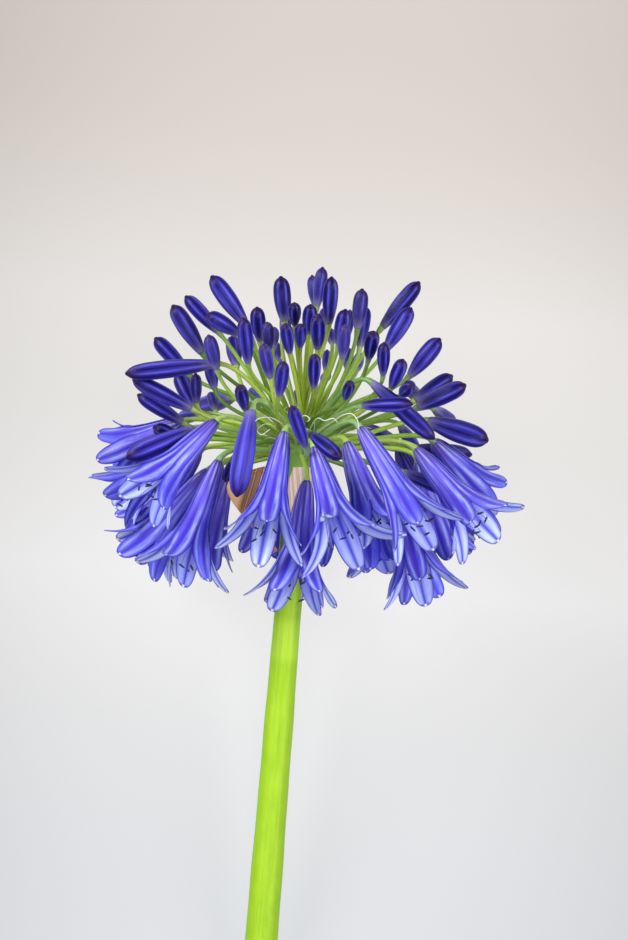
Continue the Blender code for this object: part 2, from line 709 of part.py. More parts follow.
def room_beside(middle, neighbour, sideways):
    """How far a petal may reach sideways and stay clear of the petal beside it."""
    gap = neighbour - middle
    away = float(np.linalg.norm(gap))
    lean = max(float(sideways @ gap) / away, 0.3)
    return max((0.5 * away - PETAL_CLEAR) / lean, LEAST_HALF_WIDTH)


def make_bloom(floret, handle, points, material):
    """An open flower: a tube that parts into six spreading petals, as one thin body."""
    base, tip = points[handle[1]], points[handle[2]]
    out = unit(tip - base)
    first, second = side_axes(out, floret.turn)
    angles = [2 * math.pi * k / PETALS for k in range(PETALS)]
    outward = [first * math.cos(angle) + second * math.sin(angle) for angle in angles]
    sideways = [second * math.cos(angle) - first * math.sin(angle) for angle in angles]
    bm = bmesh.new()

    def middle(k, along):
        """A place on the middle line of petal k, bent as far as it is pressed."""
        past = (along - MOUTH_AT) / (1.0 - MOUTH_AT)
        reach = outward[k] * petal_radius(along, floret.size)
        return base + out * (along * floret.length) + reach + points[handle[4][k]] * past ** 1.5

    def ring(along, radius, swing=0.0):
        """The tube's section at this place."""
        centre = base + out * (along * floret.length)
        turned = math.cos(swing), math.sin(swing)
        rays = [o * turned[0] + s * turned[1] for o, s in zip(outward, sideways)]
        return [bm.verts.new(centre + ray * radius) for ray in rays]

    foot = ring(0.0, FOOT_OF_TUBE_RADIUS)
    throat = ring(0.2, THROAT_RADIUS)
    mouth = ring(MOUTH_AT, TUBE_RADIUS)
    corner = ring(MOUTH_AT, TUBE_RADIUS * 0.96, math.pi / PETALS)
    bm.faces.new(list(reversed(foot)))
    for k in range(PETALS):
        j = (k + 1) % PETALS
        bm.faces.new((foot[k], foot[j], throat[j], throat[k]))
        bm.faces.new((throat[k], throat[j], corner[k]))
        bm.faces.new((throat[k], corner[k], mouth[k]))
        bm.faces.new((throat[j], mouth[j], corner[k]))
    for k in range(PETALS):
        row = (corner[k - 1], mouth[k], corner[k])
        for along in PETAL_ROWS:
            spot = middle(k, along)
            after = []
            for side, beside in ((-1, k - 1), (0, k), (1, (k + 1) % PETALS)):
                wide = 0.0
                if side:
                    room = room_beside(spot, middle(beside, along), sideways[k] * side)
                    wide = min(petal_half_width(along), room)
                after.append(bm.verts.new(spot + sideways[k] * (side * wide) - outward[k] * (0.1 * wide)))
            bm.faces.new((row[0], row[1], after[1], after[0]))
            bm.faces.new((row[1], row[2], after[2], after[1]))
            row = after
        end = bm.verts.new(middle(k, 1.0))
        bm.faces.new((row[0], row[1], end))
        bm.faces.new((row[1], row[2], end))
    bmesh.ops.triangulate(bm, faces=bm.faces)
    obj = finish(floret.node, bm, material)
    shell = obj.modifiers.new("thickness", "SOLIDIFY")
    shell.thickness = BLOOM_THICKNESS * MM
    shell.offset = 0.0
    shell.use_rim = True
    return obj


def make_spathe(name, line, material):
    """A dry bract: a thin blade, cupped across, along its middle line."""
    bm = bmesh.new()
    rows = []
    for place, wide in line:
        x, y, z = place
        across = (-1.0, -0.5, 0.0, 0.5, 1.0)
        rows.append([bm.verts.new((x + a * wide, y, z - 0.25 * a * a * wide)) for a in across])
    for row, after in zip(rows, rows[1:]):
        for k in range(4):
            bm.faces.new((row[k], after[k], after[k + 1], row[k + 1]))
    bmesh.ops.triangulate(bm, faces=bm.faces)
    obj = finish(name, bm, material)
    shell = obj.modifiers.new("thickness", "SOLIDIFY")
    shell.thickness = SPATHE_THICKNESS * MM
    shell.offset = 0.0
    return obj


def lower_rest_buds(settler):
    """Lets the two long buds that carry the head down until they touch the surface."""
    down = TURN[2]
    for floret, handle in zip(settler.florets, settler.handles):
        if floret.node not in REST_BUDS:
            continue
        bm = lone_bud_mesh(floret, handle, settler.points)
        lowest = min(np.array(vert.co) @ down for vert in bm.verts) + CROWN[2]
        bm.free()
        settler.points[handle[1]] -= down * lowest
        settler.points[handle[2]] -= down * lowest


def main():
    for obj in list(bpy.data.objects):
        bpy.data.objects.remove(obj)
    settler = Settler(all_florets())
    settler.run()
    lower_rest_buds(settler)
    green = paint("stalk_green", (0.36, 0.55, 0.06), 0.45)
    make_scape(settler, green)
    make_spathe("spathe_left", SPATHE_LEFT, paint("dry_bract_left", (0.55, 0.36, 0.2), 0.7))
    make_spathe("spathe_right", SPATHE_RIGHT, paint("dry_bract_right", (0.66, 0.5, 0.36), 0.7))
    sprays = sorted({floret.node for floret in settler.florets if floret.kind == "crown"})
    for node in sprays:
        make_spray(node, settler, paint(node, (0.05, 0.04, 0.3), 0.35))
    for floret, handle in zip(settler.florets, settler.handles):
        if floret.kind == "lone":
            bud = lone_bud_mesh(floret, handle, settler.points)
            finish(floret.node, bud, paint(floret.node, (0.07, 0.05, 0.42), 0.35))
        elif floret.kind == "bloom":
            make_bloom(floret, handle, settler.points, paint(floret.node, (0.13, 0.1, 0.6), 0.4))


main()
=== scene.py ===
"""African lily: the fine petals, buds, flower stalks and dry bracts of the cut umbel, with their finishes.

Every place below is written in millimetres in the head's own frame: the crown, where all the flower
stalks start, is the origin, x runs across the head, y up the flower and z out of the side that faces up.
The florets are placed and settled by the same values as the solids that they stand for.
"""

import math
import random

import bmesh
import bpy
import numpy as np
from mathutils import Matrix, Vector
from mathutils.kdtree import KDTree

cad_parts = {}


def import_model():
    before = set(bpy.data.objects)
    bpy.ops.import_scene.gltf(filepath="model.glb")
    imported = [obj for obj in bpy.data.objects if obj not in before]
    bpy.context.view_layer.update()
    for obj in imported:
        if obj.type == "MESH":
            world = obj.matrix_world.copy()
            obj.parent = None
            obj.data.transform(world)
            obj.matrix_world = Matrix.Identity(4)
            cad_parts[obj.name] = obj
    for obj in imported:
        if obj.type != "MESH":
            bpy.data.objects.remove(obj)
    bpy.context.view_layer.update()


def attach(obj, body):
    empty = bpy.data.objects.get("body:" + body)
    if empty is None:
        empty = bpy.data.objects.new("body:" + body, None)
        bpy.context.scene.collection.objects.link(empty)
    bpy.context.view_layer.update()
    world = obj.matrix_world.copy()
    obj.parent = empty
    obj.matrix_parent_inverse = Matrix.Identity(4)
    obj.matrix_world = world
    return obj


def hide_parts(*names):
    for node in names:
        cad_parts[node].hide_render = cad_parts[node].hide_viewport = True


MM = 0.001

# The green stalk and the receptacle on top of it
STALK_LENGTH = 203.0
STALK_RADIUS_TOP = 4.9
STALK_RADIUS_CUT = 6.1
CROWN_RADIUS = 8.0

# How the flower lies: the stalk leans across the view and slopes down to its cut end
STALK_LEAN = math.radians(4.6)
LIE_SLOPE = math.radians(15.0)
CROWN_PLACE = (-2.4, 68.3)

# Flower stalks
PEDICEL_RADIUS = 0.95
LONE_STEPS = (0.0, 0.34, 0.68, 0.92, 1.0)
CROWN_STEPS = (0.0, 0.33, 0.66, 1.0)
ROOT_HANDLE = 0.30
END_HANDLE = 0.20
ROOT_RADIUS = 6.0
FOOT_SEAT = CROWN_RADIUS + 0.35
FOOT_RADIUS = 1.9

# Buds
BUD_NECK_SHARE = 0.45
BUD_FULLEST = 0.6

# Open flowers
FOOT_OF_TUBE_RADIUS = 1.35
TUBE_RADIUS = 4.6
MOUTH_AT = 0.47
PETALS = 6

# Settling: how the flowers press one another apart
SETTLE_STEPS = 320
SETTLE_FREE_STEPS = 60
SETTLE_SPARE = 0.22
FLOOR_SPARE = 1.2
REST_BUDS = ("bud_rest_left", "bud_rest_right")

# Long buds that stand apart: name, base, tip, widest
LONE_BUDS = (
    ("bud_left_long", (-31, 29, 20), (-62.5, 25.5, 24), 6.5),
    ("bud_left_low", (-38.2, 5.6, 26), (-62.1, -4.6, 34), 7.0),
    ("bud_hanging", (-17.9, 12.5, 40), (-22.8, -18, 48), 7.9),
    ("bud_front_pale", (1.6, -0.6, 46), (-3.2, 13.5, 57), 5.0),
    ("bud_front_dark", (3.8, 3.8, 47), (14, -4.8, 58), 5.5),
    ("bud_right_front", (22, 14, 38), (39.5, 14.5, 44), 5.5),
    ("bud_right_drooping", (27.3, 24, 28), (48.5, 3.2, 34), 6.0),
    ("bud_right_opening", (46, 8.5, 4), (67, 1.5, 8), 8.0),
    ("bud_right_low", (37, -10, 22), (63.7, -20.2, 26), 6.0),
    ("bud_rest_left", (-25, 18, -38), (-37, 15, -60), 7.0),
    ("bud_rest_right", (26, 18, -38), (38, 16, -60), 7.0),
)

# Crown buds: the bunch they belong to, base, tip, widest
CROWN_BUDS = (
    ("left_high", (-20, 43.5, 8), (-32, 60.5, 10), 6.5),
    ("left_high", (-30, 41, -4), (-41.5, 53.5, -6), 5.5),
    ("left_high", (-35.5, 33.2, 6), (-46, 50, 8), 6.5),
    ("left_high", (-22.5, 40, 16), (-33.5, 46.7, 19), 6.0),
    ("left_high", (-41, 26, -6), (-52.5, 38.5, -8), 6.0),
    ("left_front", (-30.2, 27.3, 22), (-33, 39, 28), 5.0),
    ("left_back", (-23.4, 28.5, -26), (-25, 39.3, -34), 5.5),
    ("left_side", (-39.5, 13, 14), (-60, 23.5, 20), 6.0),
    ("left_side", (-42.7, 8.2, 4), (-58.5, 18, 4), 5.5),
    ("left_side", (-38.5, 13.5, -12), (-44.5, 26, -16), 6.0),
    ("left_front", (-37.5, 15, 8), (-37.8, 25.5, 10), 4.3),
    ("left_front", (-31, 20.3, 12), (-33, 30, 12), 4.5),
    ("left_back", (-31, 12.5, -30), (-33, 19, -38), 3.5),
    ("left_back", (-36, 11.5, -20), (-44, 10, -34), 5.0),
    ("left_side", (-42, 1, 6), (-52.8, 6.5, 8), 5.5),
    ("top_left", (-18.9, 29.5, 28), (-20.4, 45, 36), 5.5),
    ("top_left", (-14.8, 37.5, 20), (-15.7, 49, 26), 5.3),
    ("top_left", (-11.5, 34, 26), (-12, 43.5, 33), 4.5),
    ("top_back", (-10.5, 34.5, -24), (-10, 42.5, -32), 4.5),
    ("front_left", (-11, 24, 36), (-13.3, 35.7, 43), 4.9),
    ("top_back", (-8.8, 30, -30), (-9, 37, -38), 3.8),
    ("top", (-6, 44.5, 6), (-7.2, 60.3, 8), 6.0),
    ("top_back", (-6.5, 41, -18), (-4, 50, -24), 5.0),
    ("top", (-2.2, 43, 14), (-2.3, 50.7, 19), 4.5),
    ("front", (-4, 33, 30), (-5.5, 43, 38), 4.8),
    ("front", (-0.3, 35, 28), (0, 42.8, 36), 4.3),
    ("top", (5, 50.5, -8), (4, 61, -10), 4.2),
    ("top", (5.8, 50, 2), (7.8, 63.7, 3), 4.8),
    ("top", (10, 43.5, 12), (11, 60, 16), 5.5),
    ("top", (2.6, 40, 18), (3.5, 50, 23), 5.0),
    ("top_back", (8, 40, -20), (8.5, 49.5, -26), 4.0),
    ("top_right", (6, 34.5, 30), (6.2, 46.3, 38), 5.5),
    ("top_right", (13.5, 36, 16), (16, 48.3, 20), 5.5),
    ("right_back", (16, 38, -18), (17.8, 48.7, -24), 4.5),
    ("top_right", (14.8, 31, 31), (15.8, 42.5, 39), 4.6),
    ("back", (8.8, 27, -34), (9.5, 34.5, -42), 3.0),
    ("front", (4.6, 20.5, 40), (5, 32, 48), 4.7),
    ("back", (11.3, 36.5, -26), (10.5, 42, -33), 3.5),
    ("back", (7.7, 23, -36), (9.8, 26, -46), 3.5),
    ("front_left", (-7.8, 17.5, 42), (-6, 29.3, 49), 5.0),
    ("front_left", (-19.7, 12.5, 40), (-21.5, 20.7, 50), 4.7),
    ("front", (15.8, 16.4, 40), (17.8, 22.2, 49), 4.0),
    ("front_left", (-25, -6, 22), (-27, -13, 26), 3.5),
    ("right_high", (20.3, 41.8, 8), (22, 55.8, 10), 5.3),
    ("right_back", (21.3, 35.5, -22), (23.5, 50, -28), 5.0),
    ("right_high", (29.3, 42.5, 0), (42.5, 58.5, 0), 6.0),
    ("right_high", (30.7, 34.5, 12), (39.5, 49, 15), 6.0),
    ("right_high", (39.2, 25, 10), (49.8, 38, 13), 6.3),
    ("right_front", (24.3, 31, 24), (26, 40.3, 31), 5.3),
    ("right_front", (29.4, 25, 27), (29.7, 36.3, 33), 4.5),
    ("right_back", (17, 27.5, -32), (17.5, 35, -40), 4.0),
    ("right_back", (20, 27, -28), (21, 33, -38), 4.0),
    ("right_front", (32.5, 20.5, 24), (36.5, 30.3, 30), 5.2),
    ("right_side", (41, 16, -10), (54.5, 25, -13), 6.0),
    ("right_side", (42, 13.5, 8), (59, 21.5, 10), 6.5),
    ("right_side", (35, 17, 30), (39, 21, 43), 5.0),
    ("right_low_back", (37.5, 22, -16), (43, 17, -34), 5.0),
    ("right_side", (40, -1.5, -12), (61.5, -3.5, -16), 6.0),
    ("right_side", (48, 13, -8), (55, 8.5, -24), 5.0),
    ("right_low_back", (23, 7, -40), (36, -1, -50), 6.0),
    ("right_low_back", (36, 7, -28), (42, -2, -40), 5.0),
    ("back", (0, 14, -42), (-1, 20, -54), 4.5),
    ("back", (11, 11, -43), (14, 13, -56), 4.5),
    ("back_left", (-14, 15, -40), (-18, 20, -52), 5.0),
    ("back_left", (-20, 6, -40), (-26, 6, -53), 5.0),
    ("back_left", (-8, 24, -36), (-9, 32, -46), 4.5),
    ("back_left", (-3, 8, -44), (-5, 5, -55), 5.0),
)

# Open flowers: name, base, middle of the mouth at the petals' tips, spread, turn in degrees
BLOOMS = (
    ("bloom_left_front", (-30.3, 8.3, 30), (-58, -21, 40), 15.0, 3),
    ("bloom_left_low", (-29.5, -5.7, 32), (-45, -47, 40), 16.0, 45),
    ("bloom_left_side", (-41.8, 8.3, -4), (-67, -3, -26), 9.5, 30),
    ("bloom_left_middle", (-39, 0.4, 14), (-69, -21.5, 12), 13.0, 40),
    ("bloom_left_inner", (-36, -4, 2), (-57, -29, -14), 13.0, 15),
    ("bloom_left_bottom", (-33, -9, 6), (-59, -43, 4), 14.0, 0),
    ("bloom_left_hidden", (-42, 3, -14), (-62, -13, -38), 12.0, 30),
    ("bloom_left_behind", (-27, -12, -6), (-36, -43, -13), 11.5, 10),
    ("bloom_centre_left", (-5.9, 4.2, 38), (-13.9, -37, 60), 15.5, 30),
    ("bloom_centre_low", (2.1, -13.1, 24), (-2.5, -57, 38), 15.0, 0),
    ("bloom_centre_right", (4.7, -1.3, 38), (16, -38, 62), 15.5, 40),
    ("bloom_right_inner", (16.5, 0.7, 24), (29, -33, 34), 13.0, 0),
    ("bloom_centre_hidden", (22, -13, 14), (29, -46, 18), 12.0, 45),
    ("bloom_right_grey", (22.5, -9, -8), (32, -42, -22), 12.0, 15),
    ("bloom_right_front", (21.1, 5.9, 38), (45, -34, 54), 15.0, 30),
    ("bloom_right_low", (33, -12, 14), (43, -54, 26), 15.0, 30),
    ("bloom_right_middle", (42, -6, 0), (51, -40, -8), 13.0, 25),
    ("bloom_right_outer", (41.5, -1.8, 18), (66.5, -32, 34), 14.2, 37),
    ("bloom_right_side", (47.8, 0.4, -2), (66, -19, -20), 10.0, 30),
    ("bloom_right_hidden", (36.8, -1.8, -14), (50, -33, -32), 12.0, 40),
)

# Hidden side: each of these stands behind the flower it repeats, pressed flatter by the surface
HIDDEN_COPIES = (
    "bloom_left_low",
    "bloom_left_bottom",
    "bloom_centre_left",
    "bloom_centre_low",
    "bloom_centre_right",
    "bloom_right_low",
    "bloom_right_outer",
)
HIDDEN_DEPTH = -0.72
HIDDEN_SPREAD = 0.8

# Dry bracts: middle line and half width at each place
SPATHE_LEFT = (
    ((-7.6, -7, 4.5), 1.6),
    ((-13.0, -9, 7.0), 5.6),
    ((-17.6, -13, 8.5), 9.6),
    ((-17.4, -19, 9.0), 8.6),
    ((-15.0, -26, 8.5), 5.4),
    ((-12.0, -33, 7.5), 2.8),
    ((-9.5, -38, 6.5), 0.8),
)
SPATHE_RIGHT = (
    ((0.6, -8, 7.3), 3.2),
    ((0.2, -12, 7.0), 4.4),
    ((-0.6, -17, 6.6), 4.4),
    ((-1.6, -22.5, 6.3), 2.6),
    ((-2.4, -27, 6.1), 0.8),
)
BRACT_ROWS = 46
BRACT_COLUMNS = 29
BRACT_FOLDS = 6
BRACT_HALF_THICKNESS = 0.16

# Each bract: solid, middle line, finish, how pale, seed of its folds, how far it curls, lean of its veins
BRACTS = (
    ("spathe_left", SPATHE_LEFT, "dry_bract_tan", 0.0, 31, 1.0, -0.287),
    ("spathe_right", SPATHE_RIGHT, "dry_bract_pale", 0.8, 47, 0.6, 0.077),
)

# Fine petals: a pair of values is for the outer whorl, then for the inner one
PETAL_ALONG = np.concatenate((
    np.linspace(0.0, 0.88, 25), (0.91, 0.935, 0.955, 0.972, 0.986, 0.995, 1.0),
))
PETAL_ACROSS = np.linspace(-1.0, 1.0, 13)
PETAL_THICKNESS = 0.4
LOBES = ((4.2, 3.4), (4.8, 5.0))
WHORL_STEP = 0.3
KEEL_HEIGHT = 0.3
REFLEXED = {"bloom_centre_right": 2.2, "bloom_left_low": 0.8, "bloom_right_low": 0.6}
TUBE_OVERLAP = (1.18, 1.04)
CURLS = ((0.5, 1.5), (0.1, 0.8))
NEIGHBOUR_CURL = 0.4
TWIST = 0.30
LOBE_HOLLOW = (0.14, 0.075)
LOBE_START = (0.38, 0.62)
EDGE_SHARE = 0.63
LEAST_LEAN = 0.35
LEAST_REACH = 1.8
LEAST_TUBE_RADIUS = 1.2
WAVE_HEIGHT = (0.25, 0.65)
WAVES = 2.6
PETAL_SEED = 5200
STAMEN_SEED = 6200

# Pale threads among the feet of the flower stalks: short ones by a rule, long ones by their routes
THREADS = 34
THREAD_SEED = 77
THREAD_RISE = (-0.35, 0.55)
THREAD_LENGTH = (9.0, 20.0)
THREAD_CURL = (1.0, 2.8)
THREAD_LOOPS = (0.4, 1.1)
THREAD_BOW = 6.0
THREAD_RADIUS = 0.32
THREAD_STEPS = 18
LONG_THREAD_RADIUS = 0.24
LONG_THREAD_STEPS = 36
LONG_THREADS = (
    ((-2, 2, 7), (-7, 5, 20), (-12, 7.5, 34), (-15.5, 5.5, 42), (-14, 3.6, 43), (-11, 5.5, 42)),
    ((-1, 2, 7), (-5, 6, 22), (-9, 9, 35), (-12, 9.8, 42), (-15.5, 9.0, 43), (-16.8, 6.6, 42)),
    ((1, 2, 7), (0, 6, 22), (-0.5, 9.2, 36), (1.5, 10.4, 43), (3.2, 9.2, 44), (2.4, 8.2, 43)),
    ((2, 2, 7), (4, 7, 24), (6, 9.5, 38), (8.5, 8.6, 43), (11.5, 9.4, 44), (13.2, 7.8, 43)),
    (
        (3, 2, 7), (8, 6, 22), (12, 8.6, 34), (15, 10.6, 42), (18.2, 11.0, 44), (20.2, 8.6, 44),
        (20.6, 5.6, 43),
    ),
)

# Stamens
FILAMENT_RADIUS = 0.24
FILAMENT_STEPS = 12
FILAMENT_FOOT = 0.30
FILAMENT_REACH = (0.80, 0.93)
FILAMENT_SPREAD = (0.28, 0.45)
FILAMENT_SAG = 2.2
STYLE_FURTHER = 0.03
STYLE_SPREAD = 0.1
ANTHER_LENGTH = 2.9
ANTHER_RADIUS = 0.40
ANTHER_SEGMENTS = 8
ANTHER_RINGS = 6

# Sides of each round section
CROWN_STALK_SIDES = 8
SCAPE_STALK_SIDES = 10
FILAMENT_SIDES = 6
THREAD_SIDES = 5

# Fine buds and flower stalks
BUD_ALONG = np.concatenate((
    np.linspace(0.0, 0.88, 22), (0.91, 0.935, 0.955, 0.972, 0.985, 0.995, 1.0),
))
BUD_SIDES = 24
BUD_RIB = 0.06
BUD_NIB = 0.45
BUD_NIB_START = 0.984
BUD_BLUNTNESS = 0.62
LEAST_BUD_RADIUS = 0.12
YOUNG_BUD_SIZE = 5.4
PEDICEL_STEPS = 22
PEDICEL_ENTRY = 0.8
FOOT_SWELL = 0.35
FLOWER_SWELL_START = 0.88
FINE_STALK_SIDES = 48
STALK_ROWS = 110
RECEPTACLE_ROWS = 22
NECK_HEIGHT = -16.0
STALK_PROFILE = (
    (-STALK_LENGTH, STALK_RADIUS_CUT), (-70.0, STALK_RADIUS_TOP), (NECK_HEIGHT, STALK_RADIUS_TOP),
    (-9.0, 6.2), (-4.0, 6.93), (0.0, 8.0), (4.0, 6.93), (6.93, 4.0), (7.75, 1.6),
)
CUT_BEVEL = (0.35, 0.08)
CROWN_STALK_RADIUS = 0.72
LONE_STALK_RADIUS = 0.85
BLOOM_STALK_RADIUS = 0.9
FRONT_DEPTH = 20.0
OLIVE_REACH = 26.0
FLORET_SEED = 900

# The most that a bud's shade may be, from plain indigo at 0 to the greyer, paler young bud at 1
YOUNG_SHADE = 1.0
GROWN_SHADE = 0.45
LONE_SHADE = 0.4

# How light each lone bud is, from dark indigo at 0 to bright violet at 1
BUD_LIGHT = {
    "bud_left_long": 0.30,
    "bud_left_low": 0.45,
    "bud_hanging": 0.85,
    "bud_front_pale": 0.55,
    "bud_front_dark": 0.08,
    "bud_right_front": 0.25,
    "bud_right_drooping": 0.40,
    "bud_right_opening": 0.45,
    "bud_right_low": 0.35,
    "bud_rest_left": 0.30,
    "bud_rest_right": 0.30,
}
CROWN_LIGHT = 0.5

# The photograph's view: millimetres across the longer side, what stands in the middle, and the distance
VIEW_HEIGHT = 338.4
VIEW_MIDDLE = (4.7, -9.0, 0.0)
VIEW_DISTANCE = 4000.0
VIEW_END = 20.0
SENSOR = 36.0

# A Mix node's factor and two colours among its inputs, and its colour among its outputs
MIX_INPUTS = (0, 6, 7)
MIX_OUTPUT = 2

# Painted glow: emission that stands in for the light that papery bracts and thin petals let through, and
# lifts their shaded parts
BRACT_GLOW = 0.28
PETAL_GLOW = 0.018

# The floor: its size, its painted glow, how dark it is under the lamps, how the painted glow dims to the
# sides, and its colour far away
FLOOR_SIZE = 6.0
FLOOR_GLOW = 0.88
FLOOR_DARK = 0.86
FLOOR_FALL = 9.0
FLOOR_MOST_DIM = 0.31
FLOOR_MIDDLE = 0.010
FLOOR_AWAY = (0.64, 0.637, 0.632)

# Soft lamps, in metres and watts: name, place, width and power; all of them shine at the flower
LAMPS = (
    ("left_lamp", (-1.1, 0.4, 1.2), 0.9, 32.0),
    ("right_lamp", (1.2, 0.1, 1.1), 0.9, 22.0),
    ("front_lamp", (0.0, -0.9, 1.4), 0.7, 10.5),
)
LAMP_AIM = (0.0, 0.05, 0.05)
WORLD_LIGHT = 0.10
WORLD_COLOUR = (1.0, 0.99, 0.98, 1.0)


def lie_down():
    """The turn from the head's frame to the frame of the surface that the flower lies on."""
    return Matrix.Rotation(LIE_SLOPE, 3, "X") @ Matrix.Rotation(STALK_LEAN, 3, "Z")


def crown_height():
    """How high the crown is held when the rim of the cut end touches the surface."""
    return STALK_LENGTH * math.sin(LIE_SLOPE) + STALK_RADIUS_CUT * math.cos(LIE_SLOPE)


TURN = np.array(lie_down())
CROWN = np.array((CROWN_PLACE[0], CROWN_PLACE[1], crown_height()))


def unit(vector):
    """The same direction, one long."""
    return vector / max(np.linalg.norm(vector), 1e-9)


def side_axes(direction, turn=0.0):
    """Two directions square to this one, turned about it."""
    first = np.cross(direction, (0.0, 0.0, 1.0))
    if np.linalg.norm(first) < 0.1:
        first = np.cross(direction, (1.0, 0.0, 0.0))
    first = unit(first)
    second = np.cross(direction, first)
    swing = math.radians(turn)
    return (
        first * math.cos(swing) + second * math.sin(swing),
        second * math.cos(swing) - first * math.sin(swing),
    )


def bud_radius(along, widest):
    """Radius of a closed bud: a slim neck, fullest past its middle, then drawn in to a blunt point."""
    if along < BUD_FULLEST:
        rise = math.sin(0.5 * math.pi * along / BUD_FULLEST) ** 0.9
        return 0.5 * widest * (BUD_NECK_SHARE + (1.0 - BUD_NECK_SHARE) * rise)
    past = min((along - BUD_FULLEST) / (1.0 - BUD_FULLEST), 1.0)
    return 0.5 * widest * (1.0 - past ** 3) ** 0.6


def petal_radius(along, spread):
    """Distance from the axis of a petal's middle line, from the mouth of the tube to its tip."""
    past = (along - MOUTH_AT) / (1.0 - MOUTH_AT)
    return TUBE_RADIUS + (spread - TUBE_RADIUS) * (0.45 * past + 0.55 * past * past)


def petal_half_width(along):
    """Half the width of a petal between the mouth and its tip."""
    past = (along - MOUTH_AT) / (1.0 - MOUTH_AT)
    return 2.5 + 3.0 * past * (1.25 - past)


class Floret:
    """One flower or bud with its stalk, as it is first placed."""

    def __init__(self, node, base, tip, size, kind, turn=0.0):
        self.node = node
        self.base = np.array(base, float)
        self.tip = np.array(tip, float)
        self.size = size
        self.kind = kind
        self.turn = turn
        self.length = float(np.linalg.norm(self.tip - self.base))
        self.reach = float(np.linalg.norm(self.base))


def all_florets():
    """Every floret of the head, from the lists above."""
    florets = [Floret(name, base, tip, wide, "lone") for name, base, tip, wide in LONE_BUDS]
    florets += [Floret("buds_" + group, base, tip, wide, "crown") for group, base, tip, wide in CROWN_BUDS]
    for name, base, tip, spread, turn in BLOOMS:
        florets.append(Floret(name, base, tip, spread, "bloom", turn))
        if name in HIDDEN_COPIES:
            back = [np.array((x, y, z * HIDDEN_DEPTH)) for x, y, z in (base, tip)]
            florets.append(
                Floret(name + "_back", *back, spread * HIDDEN_SPREAD, "bloom", turn + 30.0)
            )
    return florets


